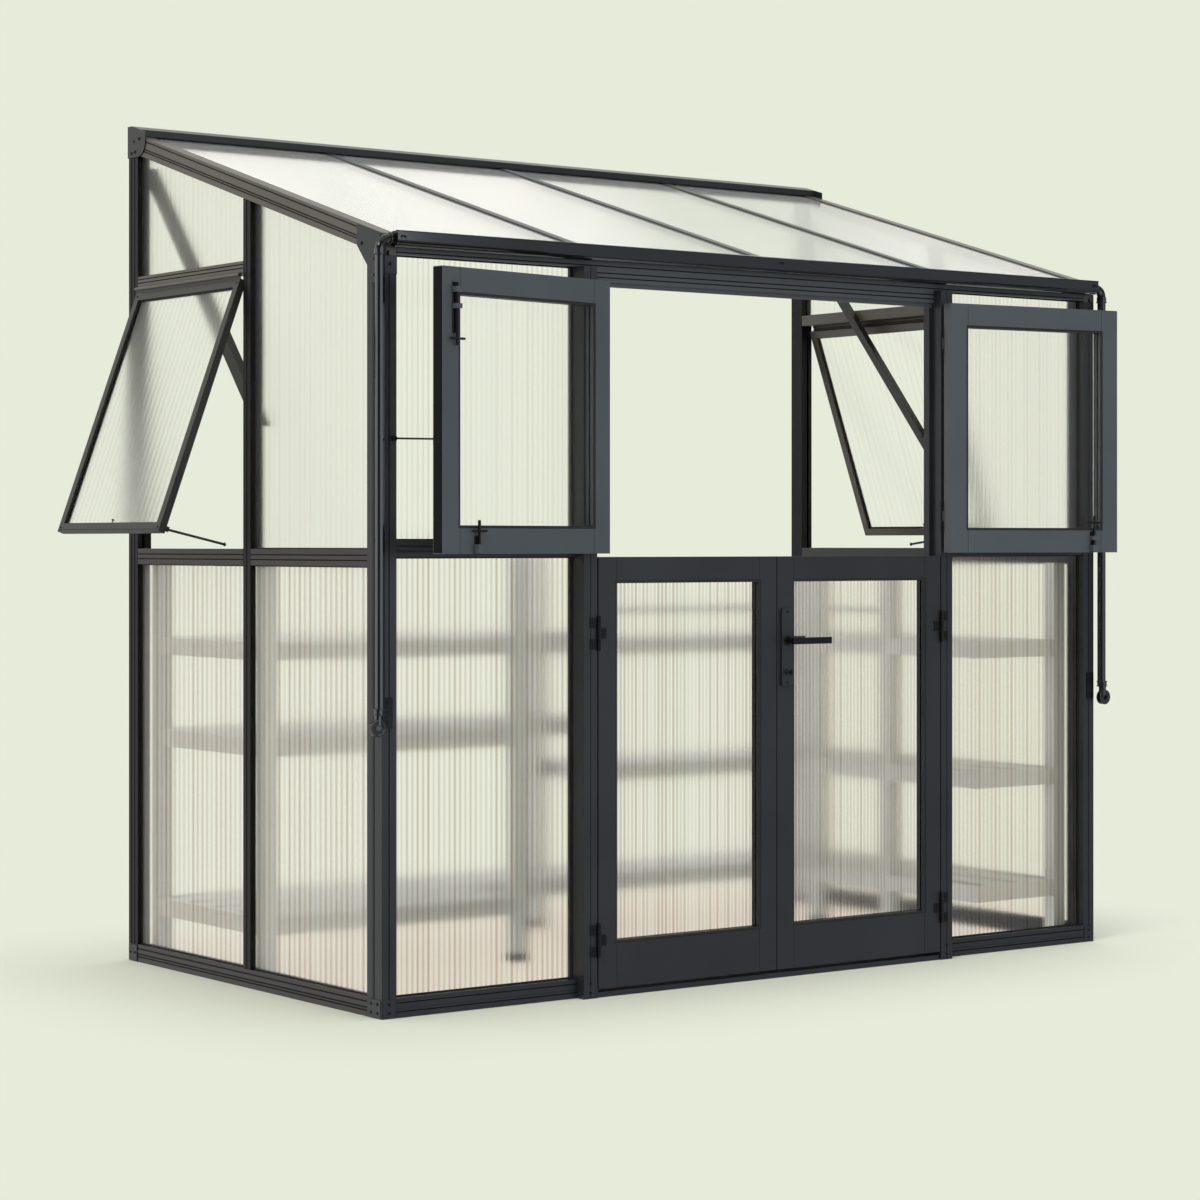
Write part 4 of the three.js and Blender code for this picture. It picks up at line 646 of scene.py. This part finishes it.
# Across a leaf, x is from the pin, and y is from the outer to the inner face.
leaf_sizes = {"lower": (0.024, 0.145, 1.081, 1.149), "upper": (1.158, 1.228, 1.798, 1.865)}
glass_start, glass_end, bead_wide = 0.0562, 0.5493, 0.0068
seam_wide, free_edge = 0.0009, 0.6035
for side in sides:
    for level, (low, glass_low, glass_high, high) in leaf_sizes.items():
        body = f"{level}_{side}_leaf"
        rings, seams = [], []
        bead_low, bead_high = glass_low - 0.0058, glass_high + 0.0058
        for y, way in ((0.0089, -1), (0.0371, 1)):
            corners = on_leaf(side, level, (glass_start, y, bead_low), (glass_end, y, bead_low),
                              (glass_end, y, bead_high), (glass_start, y, bead_high))
            rings.append(bead_ring(corners, leaf_way(side, level, (0, way, 0)), 0.0025, bead_wide))
        for y, way in ((0.0061, -1), (0.0399, 1)):
            for x in (0.0615, 0.5435):
                for z0, z1 in (
                    (low + 0.001, glass_low - 0.007), (glass_high + 0.007, high - 0.001),
                ):
                    corners = on_leaf(side, level, (x, y, z0), (x + seam_wide, y, z0),
                                      (x + seam_wide, y, z1), (x, y, z1))
                    seams.append(cover(corners, leaf_way(side, level, (0, way, 0)), 0.0003))
        joined(rings)
        finished(f"{body}_beads", rubber, body)
        joined(seams)
        eased(0.0001, 1)
        finished(f"{body}_seams", seam_shade, body)
        seal = ((0.0080, low + 0.002), (0.0380, low + 0.002), (0.0380, high - 0.002),
                (0.0080, high - 0.002))
        cover(on_leaf(side, level, *((free_edge, y, z) for y, z in seal)),
              leaf_way(side, level, (1, 0, 0)), 0.0010)
        eased(0.0004)
        finished(f"{body}_edge_seal", seam_shade, body)


# Butt hinges: black steel, two on each leaf. A cover wraps each knuckle and flap, a
# domed tip closes both ends of each pin, and small screws hold the flaps.
def turned(section, centre, way, steps=24, sweep=360):
    alone()
    bpy.ops.mesh.primitive_plane_add(size=1)
    flat = bpy.context.object.data
    for at, (out, up) in zip((0, 1, 3, 2), section):
        flat.vertices[at].co = (out, 0, up)
    bpy.ops.object.mode_set(mode="EDIT")
    bpy.ops.mesh.select_all(action="SELECT")
    bpy.ops.mesh.delete(type="ONLY_FACE")
    bpy.ops.mesh.select_all(action="SELECT")
    bpy.ops.mesh.spin(steps=steps, angle=math.radians(sweep), center=(0, 0, 0), axis=(0, 0, 1))
    bpy.ops.mesh.select_all(action="SELECT")
    bpy.ops.mesh.remove_doubles(threshold=0.00001)
    if sweep < 360:
        bpy.ops.mesh.select_all(action="SELECT")
        bpy.ops.mesh.fill_holes(sides=4)
    bpy.ops.mesh.select_all(action="SELECT")
    bpy.ops.mesh.normals_make_consistent(inside=False)
    bpy.ops.object.mode_set(mode="OBJECT")
    turn = Vector((0, 0, 1)).rotation_difference(Vector(way)).to_matrix().to_4x4()
    bpy.context.object.matrix_world = Matrix.Translation(Vector(centre)) @ turn
    bpy.ops.object.transform_apply(location=True, rotation=True, scale=True)
    eased(0.0005)
    return bpy.context.object


alone()
tip_high = 0.0030
bpy.ops.mesh.primitive_cylinder_add(vertices=14, radius=0.0050, depth=tip_high,
                                    location=(0, 0, tip_high / 2))
bpy.ops.object.mode_set(mode="EDIT")
facing((0, 0, 1))
bpy.ops.transform.resize(value=(0.72, 0.72, 1))
bpy.ops.mesh.inset(thickness=0.0012)
bpy.ops.transform.translate(value=(0, 0, 0.0006))
bpy.ops.object.mode_set(mode="OBJECT")
bpy.ops.object.transform_apply(location=True, rotation=True, scale=True)
eased(0.0004, angle=25)
pin_tip = bpy.context.object.data
bpy.data.objects.remove(bpy.context.object)
hinge_middles = {"lower": (0.150, 0.950), "upper": (1.262, 1.752)}
third = 0.028
knuckle_in, knuckle_out, flap_thick, pin_half = 0.0045, 0.0052, 0.0006, 0.042


def knuckle_cover(pin, low, high):
    wall = ((knuckle_in, 0), (knuckle_out, 0), (knuckle_out, high), (knuckle_in, high))
    return turned(wall, (*pin, low), (0, 0, 1), 14)


for side, sign in both:
    pin = (sign * pin_x, front - pin_ahead)
    heights = [z for middles in hinge_middles.values() for z in middles]
    made = []
    for z in heights:
        for low in (z - 1.5 * third, z + 0.5 * third + 0.0006):
            high = low + third - 0.0008
            made.append(knuckle_cover(pin, low, third - 0.0008))
            flap = ((0.6095, low), (0.6308, low), (0.6308, high), (0.6095, high))
            made.append(cover([(sign * x, front - 0.0324, h) for x, h in flap], (0, -1, 0),
                              flap_thick))
    joined(made)
    finished(f"{side}_hinge_covers", black_coat)
    for level, middles in hinge_middles.items():
        made = []
        for z in middles:
            low = z - 0.5 * third + 0.0003
            high = low + third - 0.0006
            made.append(knuckle_cover(pin, low, third - 0.0006))
            flap = ((0.0045, low), (0.0258, low), (0.0258, high), (0.0045, high))
            made.append(cover(on_leaf(side, level, *((x, 0.0036, h) for x, h in flap)),
                              leaf_way(side, level, (0, -1, 0)), flap_thick))
        joined(made)
        finished(f"{level}_{side}_hinge_covers", black_coat, f"{level}_{side}_leaf")
    copies(f"{side}_hinge_tips_above", pin_tip, [(*pin, z + pin_half) for z in heights], (0, 0, 1))
    copies(f"{side}_hinge_tips_below", pin_tip, [(*pin, z - pin_half) for z in heights], (0, 0, -1))
    copies(f"{side}_hinge_jamb_screws", pan_head,
           [(sign * 0.6205, front - 0.0330, z + step) for z in heights for step in (-0.028, 0.028)],
           (0, -1, 0), size=0.62)
    for level, middles in hinge_middles.items():
        spots = on_leaf(side, level, *(
            (0.0165, 0.0030, z + step) for z in middles for step in (-0.006, 0.006)))
        copies(f"{level}_{side}_hinge_screws", pan_head, spots, leaf_way(side, level, (0, -1, 0)),
               f"{level}_{side}_leaf", size=0.62)


# Lever handle: black steel on long plates. A round rose stands where the lever's neck
# turns, a key knob on the cylinder, and two plate screws on each face.
dressed(black_coat, "lever_handle")
handle_x, key_high = 0.5735, 0.833
for name, y, way in (("outer", -0.002, -1), ("inner", 0.048, 1)):
    out = leaf_way("right", "lower", (0, way, 0))
    spot, = on_leaf("right", "lower", (handle_x, y, 0.919))
    turned(((0.0086, 0), (0.0135, 0), (0.0125, 0.0034), (0.0086, 0.0040)), spot, out)
    finished(f"{name}_handle_rose", black_coat, "lower_right_leaf")
    spots = on_leaf("right", "lower", (handle_x, y, 0.804), (handle_x, y, 0.998))
    copies(f"{name}_plate_screws", pan_head, spots, out, "lower_right_leaf", size=0.7)
    key_end = y + way * 0.006
    neck, = on_leaf("right", "lower", (handle_x, key_end, key_high))
    made = [turned(((0.0004, 0), (0.0034, 0), (0.0028, 0.0085), (0.0004, 0.0085)), neck, out, 16)]
    grip = ((-0.002, -0.008), (0.002, -0.008), (0.002, 0.008), (-0.002, 0.008))
    made.append(cover(on_leaf("right", "lower", *(
        (handle_x + dx, key_end + way * 0.008, key_high + dz) for dx, dz in grip)), out, 0.006))
    eased(0.0009)
    joined(made)
    finished(f"{name}_key_knob", black_coat, "lower_right_leaf")


# Barrel bolts and cabin hook: black steel. Each bolt has a screwed base plate under
# its guides, on the inside of an upper leaf, and a rounded end on both arms of its grip.
dressed(black_coat, "left_top_bolt", "left_bottom_bolt", "right_bottom_bolt", "cabin_hook")
alone()
bpy.ops.mesh.primitive_cylinder_add(vertices=14, radius=0.0043, depth=0.0055,
                                    location=(0, 0, 0.0012))
bpy.ops.object.mode_set(mode="EDIT")
facing((0, 0, 1))
bpy.ops.mesh.inset(thickness=0.001)
bpy.ops.object.mode_set(mode="OBJECT")
bpy.ops.object.transform_apply(location=True, rotation=True, scale=True)
eased(0.0016, 3, angle=50)
grip_end = bpy.context.object.data
bpy.data.objects.remove(bpy.context.object)
inner_face, half_plate, half_grip = 0.0401, 0.0100, 0.0160
for name, side, x, z0, z1, grip, screw_rows in (
    ("left_top_bolt", "left", 0.5615, 1.702, 1.827, 1.6878, (1.7565, 1.8215)),
    ("left_bottom_bolt", "left", 0.4855, 1.1590, 1.2030, 1.2153, (1.1875,)),
    ("right_bottom_bolt", "right", 0.5115, 1.1590, 1.2190, 1.2444, (1.187, 1.2125)),
):
    body = f"upper_{side}_leaf"
    inwards = leaf_way(side, "upper", (0, 1, 0))
    plate = ((x - half_plate, z0), (x + half_plate, z0), (x + half_plate, z1), (x - half_plate, z1))
    cover(on_leaf(side, "upper", *((wide, inner_face, z) for wide, z in plate)), inwards, 0.0018)
    eased(0.0006)
    finished(f"{name}_plate", black_coat, body)
    spots = on_leaf(side, "upper", *(
        (x + dx, inner_face + 0.0017, z) for z in screw_rows for dx in (-0.0062, 0.0062)))
    copies(f"{name}_screws", pan_head, spots, inwards, body, size=0.5)
    for arm, letter in ((-1, "a"), (1, "b")):
        spots = on_leaf(side, "upper", (x + arm * half_grip, 0.0505, grip))
        copies(f"{name}_grip_end_{letter}", grip_end, spots, leaf_way(side, "upper", (arm, 0, 0)),
               name, size=0.8)


# Side windows: rubber beads on both faces of the sheet, a screw in each corner and
# a small latch peg in the middle of the bottom bar. Both stand open on their stays.
dressed(warm_lit_gable_coat, "left_window_frame", "left_window_stay", "right_window_stay")
dressed(lit_slope_coat, "right_window_frame")
window_open = math.radians(20)


def on_window(side, *spots):
    sign = 1 if side == "left" else -1
    turn = Matrix.Rotation(window_open * sign, 3, "Y")
    bead = Vector((-sign * 1.257, front + 0.6965, 1.901))
    return [bead + turn @ Vector((sign * x, y, z)) for x, y, z in spots]


def window_way(side, way):
    base, tip = on_window(side, (0, 0, 0), way)
    return tip - base


# On a window, x is from the outer face inwards, y from the front edge, z down from the bead.
field = ((0.024, -0.702), (0.5655, -0.702), (0.5655, -0.0317), (0.024, -0.0317))
peg_x, peg_y = 0.014, 0.2947
for side in sides:
    body = f"{side}_window"
    up = window_way(side, (0, 0, 1))
    rings = []
    for x, way in ((0.0109, -1), (0.0171, 1)):
        rings.append(bead_ring(on_window(side, *((x, y, z) for y, z in field)),
                               window_way(side, (way, 0, 0)), 0.0025, 0.0028))
    joined(rings)
    finished(f"{body}_beads", rubber, body)
    spots = on_window(side, *((0.004, y, z) for y in (0.012, 0.5775) for z in (-0.714, -0.0197)))
    copies(f"{body}_screws", pan_head, spots, window_way(side, (-1, 0, 0)), body, size=0.6)
    foot, head = on_window(side, (peg_x, peg_y, -0.702), (peg_x, peg_y, -0.6920))
    turned(((0.0004, 0), (0.0030, 0), (0.0026, 0.0105), (0.0004, 0.0105)), foot, up, 14)
    peg = bpy.context.object
    turned(((0.0004, 0), (0.0056, 0), (0.0046, 0.0034), (0.0004, 0.0040)), head, up, 14)
    joined([peg, bpy.context.object])
    finished(f"{body}_latch_peg", black_coat, body)


# Gutter and downpipes: black moulded plastic. A sleeve wraps each end of the gutter,
# a raised lip closes every socket of the pipes, and the end ring has a pressed rim.
gloss_black = coated("gloss_black", (0.004, 0.0045, 0.006), (0.010, 0.011, 0.013), grain=300,
                     dust=0.2, bump=0.004, rough=0.06, gloss=0.6)
dressed(gloss_black, "left_downpipe", "right_downpipe", "gutter")
gutter_high, gutter_ahead, sleeve_wide = 1.9415, 0.0208, 0.016
sleeve = ((0.0206, 0), (0.0222, 0), (0.0222, sleeve_wide), (0.0206, sleeve_wide))
along_gutter = Matrix(((0, 0, 1, 0), (-1, 0, 0, 0), (0, -1, 0, 0), (0, 0, 0, 1)))
for name, x in (("left", -1.2200), ("middle", 0.0), ("right", 1.2040)):
    turned(sleeve, (0, 0, 0), (0, 0, 1), 18, 145)
    centre = Matrix.Translation((x, front - gutter_ahead, gutter_high))
    bpy.context.object.matrix_world = centre @ along_gutter
    finished(f"{name}_gutter_sleeve", gloss_black)
pipe_y, ring_x, ring_z = front - 0.017, 1.274, 0.727
socket_lip = ((0.0136, 0), (0.0162, 0.0004), (0.0162, 0.0034), (0.0136, 0.0042))
outer_rim = ((0.0150, -0.0006), (0.0218, -0.0006), (0.0208, 0.0012), (0.0160, 0.0012))
inner_rim = ((0.0077, -0.0006), (0.0108, -0.0006), (0.0100, 0.0010), (0.0080, 0.0010))
for side, sign in both:
    lips = []
    for x, z, way in (
        (1.266, 1.8990, (0, 0, 1)), (1.2365, gutter_high, (sign, 0, 0)),
        (1.268, 0.7712, (0, 0, 1)), (1.268, 0.7580, (0, 0, 1)),
    ):
        lips.append(turned(socket_lip, (sign * x, pipe_y, z), way))
    for y, way in ((-0.0241, -1), (-0.0099, 1)):
        for rim, steps in ((outer_rim, 32), (inner_rim, 24)):
            lips.append(turned(rim, (sign * ring_x, front + y, ring_z), (0, way, 0), steps))
    joined(lips)
    finished(f"{side}_pipe_lips", gloss_black)


# Roof edge: a thin coated trim closes the low end of each sheet over the gutter, and
# a plug closes the end of each glazing bar. The threshold has three grip ribs.
up_slope = Vector((0, -math.sin(roof_pitch), math.cos(roof_pitch)))
trim_ahead, trim_thick, roof_foot = 0.0122, 0.0009, 1.95320
for number, (x0, x1) in enumerate((
    (-1.2060, -0.6440), (-0.6060, -0.0190), (0.0190, 0.6060), (0.6440, 1.2060),
), 1):
    top = ((x0, -trim_ahead), (x1, -trim_ahead), (x1, 0.004), (x0, 0.004))
    edge = ((x0, 1.9428), (x1, 1.9428), (x1, 1.9502), (x0, 1.9502))
    joined([
        cover([(x, front + y, roof_foot + slope * y) for x, y in top], up_slope, trim_thick),
        cover([(x, front - 0.0121, z) for x, z in edge], (0, -1, 0), trim_thick),
    ])
    eased(0.0002, 1)
    finished(f"roof_edge_trim_{number}", charcoal)
plug = ((-0.0168, 1.9442), (0.0168, 1.9442), (0.0158, 1.9528), (-0.0158, 1.9528))
for number, x in enumerate((-0.625, 0.0, 0.625), 1):
    cover([(x + dx, front - trim_ahead, z) for dx, z in plug], (0, -1, 0), 0.0016)
    eased(0.0006)
    finished(f"roof_bar_plug_{number}", black_coat)
rib_half, rib_wide, threshold_top = 0.598, 0.003, 0.0199
rib = ((-rib_half, 0), (rib_half, 0), (rib_half, rib_wide), (-rib_half, rib_wide))
joined([cover([(x, front + y + dy, threshold_top) for x, dy in rib], (0, 0, 1), 0.0012)
        for y in (0.010, 0.019, 0.028)])
eased(0.0004, 1)
finished("threshold_grip_ribs", charcoal)


# The shelving inside: slatted shelves on square legs, satin aluminium, one unit
# against each gable, with rubber boots on the legs and a bolt at each tier.
shelf_metal = coated("shelf_metal", (0.72, 0.72, 0.71), (0.78, 0.78, 0.77), grain=700, dust=0.2,
                     bump=0.05, metallic=0.3)
dressed(shelf_metal, "left_shelving", "right_shelving")
half_leg, half_boot = 0.021, 0.0228
corner_x, corner_y = 1.2067, 1.278
boot = ((-half_boot, -half_boot), (half_boot, -half_boot), (half_boot, half_boot),
        (-half_boot, half_boot))
for side, sign, tiers, legs in (
    ("left", -1, (0.183, 0.661, 0.919), ((0, 0), (0, 0.586), (0.810, 0.586), (1.287, 0))),
    ("right", 1, (0.182, 0.515, 0.896), (
        (0, 0), (0, 1.156), (0.315, 0.7745), (0.315, 0.4393), (0.315, 0.258), (1.035, 0.258))),
):
    boots, bolts = [], []
    for inwards, out in legs:
        x = sign * (corner_x - inwards - half_leg)
        y = front + corner_y - out - half_leg
        boots.append(cover([(x + dx, y + dy, 0.0002) for dx, dy in boot], (0, 0, 1), 0.024))
        bpy.ops.object.mode_set(mode="EDIT")
        facing((0, 0, 1))
        bpy.ops.transform.resize(value=(0.94, 0.94, 1))
        bpy.ops.object.mode_set(mode="OBJECT")
        eased(0.0012)
        bolts += [(x, y - half_leg, z - 0.024) for z in tiers]
    joined(boots)
    finished(f"{side}_shelving_boots", rubber)
    copies(f"{side}_shelving_bolts", pan_head, bolts, (0, -1, 0), material=shelf_metal)


# The twin-wall sheets: clear plastic in two skins with upright webs between. The
# webs show as fine stripes, up the walls and down the roof, and what lies behind
# a sheet is blurred.
flute_group = bpy.data.node_groups.new("twin_wall", "ShaderNodeTree")
for name, value in (("Across", 0.0), ("Pitch", 0.011), ("Thick", 0.3), ("Cloud", 0.0)):
    socket = flute_group.interface.new_socket(name=name, in_out="INPUT", socket_type=plain_number)
    socket.default_value = value
for name in ("Web", "Height"):
    flute_group.interface.new_socket(name=name, in_out="OUTPUT", socket_type=plain_number)
flute_in = flute_group.nodes.new("NodeGroupInput")
flute_out = flute_group.nodes.new("NodeGroupOutput")
wire = flute_group.links.new


def worked_out(operation, *values):
    node = flute_group.nodes.new("ShaderNodeMath")
    node.operation = operation
    for at, value in enumerate(values):
        if isinstance(value, (int, float)):
            node.inputs[at].default_value = value
        else:
            wire(value, node.inputs[at])
    return node.outputs[0]


# Each lane between two webs has its own number, which makes its web fainter or darker
edge_soft = 0.07
faintest, spread = 0.35, 0.75
turns = worked_out("DIVIDE", flute_in.outputs["Across"], flute_in.outputs["Pitch"])
wave = worked_out("PINGPONG", turns, 0.5)
lane = flute_group.nodes.new("ShaderNodeTexWhiteNoise")
lane.noise_dimensions = "1D"
wire(worked_out("FLOOR", turns), lane.inputs["W"])
web = flute_group.nodes.new("ShaderNodeMapRange")
web.interpolation_type = "SMOOTHSTEP"
web_start = worked_out("SUBTRACT", 0.5, flute_in.outputs["Thick"])
wire(wave, web.inputs["Value"])
wire(web_start, web.inputs["From Min"])
wire(worked_out("ADD", web_start, edge_soft), web.inputs["From Max"])
uneven = worked_out("MULTIPLY_ADD", lane.outputs["Value"], spread, faintest)
stripe = worked_out("MULTIPLY", web.outputs[0], uneven)
clouded = worked_out("ADD", stripe, flute_in.outputs["Cloud"])
wire(clouded, flute_out.inputs["Web"])
wire(wave, flute_out.inputs["Height"])


def twin_wall(name, across, pitch, web_colour, rough, thick=0.2, cloud=0.0, bend=0.2, through=0.9,
              ior=1.3, lane_colour=(0.99, 0.99, 0.985), lit_paler_above=None):
    material = bpy.data.materials.new(name)
    material.use_nodes = True
    made = material.node_tree
    wire = made.links.new
    surface = made.nodes["Principled BSDF"]
    surface.inputs["Roughness"].default_value = rough
    surface.inputs["IOR"].default_value = ior
    surface.inputs["Transmission Weight"].default_value = through
    where = made.nodes.new("ShaderNodeTexCoord")
    dot = made.nodes.new("ShaderNodeVectorMath")
    dot.operation = "DOT_PRODUCT"
    dot.inputs[1].default_value = across
    group = made.nodes.new("ShaderNodeGroup")
    group.node_tree = flute_group
    group.inputs["Pitch"].default_value = pitch
    group.inputs["Thick"].default_value = thick
    if cloud:
        mist = made.nodes.new("ShaderNodeTexNoise")
        mist.inputs["Scale"].default_value = 1.6
        mist.inputs["Detail"].default_value = 5
        stretch = made.nodes.new("ShaderNodeMapping")
        stretch.inputs["Scale"].default_value = (3, 0.8, 1)
        veil = made.nodes.new("ShaderNodeMapRange")
        veil.inputs["From Min"].default_value = 0.5
        veil.inputs["From Max"].default_value = 0.7
        veil.inputs["To Max"].default_value = cloud
        wire(where.outputs["Object"], stretch.inputs[0])
        wire(stretch.outputs[0], mist.inputs["Vector"])
        wire(mist.outputs["Fac"], veil.inputs["Value"])
        wire(veil.outputs[0], group.inputs["Cloud"])
    # Painted light: above this height the webs thin out, so the sheet's upper part is paler, as if
    # whitened by light from the roof.
    if lit_paler_above:
        split_place = made.nodes.new("ShaderNodeSeparateXYZ")
        lit_web_thinning = made.nodes.new("ShaderNodeMapRange")
        lit_web_thinning.inputs["From Min"].default_value = lit_paler_above
        lit_web_thinning.inputs["From Max"].default_value = lit_paler_above + 0.05
        lit_web_thinning.inputs["To Min"].default_value = thick
        lit_web_thinning.inputs["To Max"].default_value = 0.09
        wire(where.outputs["Object"], split_place.inputs[0])
        wire(split_place.outputs["Z"], lit_web_thinning.inputs["Value"])
        wire(lit_web_thinning.outputs[0], group.inputs["Thick"])
    tint = made.nodes.new("ShaderNodeMix")
    tint.data_type = "RGBA"
    tint.inputs[6].default_value = (*lane_colour, 1)
    tint.inputs[7].default_value = (*web_colour, 1)
    relief = made.nodes.new("ShaderNodeBump")
    relief.inputs["Strength"].default_value = bend
    relief.inputs["Distance"].default_value = 0.002
    wire(where.outputs["Object"], dot.inputs[0])
    wire(dot.outputs["Value"], group.inputs["Across"])
    wire(group.outputs["Web"], tint.inputs[0])
    wire(tint.outputs[2], surface.inputs["Base Color"])
    wire(group.outputs["Height"], relief.inputs["Height"])
    wire(relief.outputs[0], surface.inputs["Normal"])
    return material


# The webs are one product everywhere, but their colour differs by place: darker and warmer on the
# low sheets, paler on the high sheets, the upper leaves and the far gable. This is partly the webs'
# own tint and partly painted shade and light.
by_depth, by_width, clear = (0, 1, 0), (1, 0, 0), (1, 1, 1)
dressed(twin_wall("sheet_gable_low", by_depth, 0.026, (0.66, 0.55, 0.50), 0.16),
        "left_lower_gable_panel")
dressed(twin_wall("sheet_far_gable_low", by_depth, 0.026, (0.83, 0.75, 0.70), 0.16, through=1),
        "right_lower_gable_panel")
dressed(twin_wall("sheet_gable_high", by_depth, 0.026, (0.92, 0.86, 0.82), 0.3, thick=0.14,
                  through=0.98, ior=1.22, lane_colour=clear),
        *on_both_sides("upper_front_gable_panel", "upper_back_gable_panel"))
dressed(twin_wall("sheet_front", by_width, 0.016, (0.64, 0.53, 0.48), 0.17, through=1, ior=1.2,
                  lane_colour=clear, lit_paler_above=1.17),
        *on_both_sides("front_panel"))
dressed(twin_wall("sheet_lower_leaf", by_width, 0.0125, (0.57, 0.46, 0.42), 0.17, bend=0.1,
                  through=1, ior=1.2, lane_colour=clear),
        "lower_left_leaf_panel", "lower_right_leaf_panel")
dressed(twin_wall("sheet_roof", by_width, 0.016, (0.92, 0.91, 0.93), 0.07, thick=0.12, cloud=0.5,
                  bend=0.08, through=0.85, ior=1.2),
        *(f"roof_panel_{number}" for number in (1, 2, 3, 4)))
for side in sides:
    across_leaf = Matrix.Rotation(leaf_open[side], 3, "Z") @ Vector(by_width)
    dressed(twin_wall(f"sheet_{side}_leaf", across_leaf, 0.0095, (0.97, 0.97, 0.99), 0.16,
                      thick=0.12, bend=0.04, through=1, ior=1.15, lane_colour=clear),
            f"upper_{side}_leaf_panel")
    dressed(twin_wall(f"sheet_{side}_window", by_depth, 0.026, (0.93, 0.89, 0.87), 0.22, thick=0.14,
                      bend=0.1, through=1, ior=1.3, lane_colour=clear),
            f"{side}_window_panel")
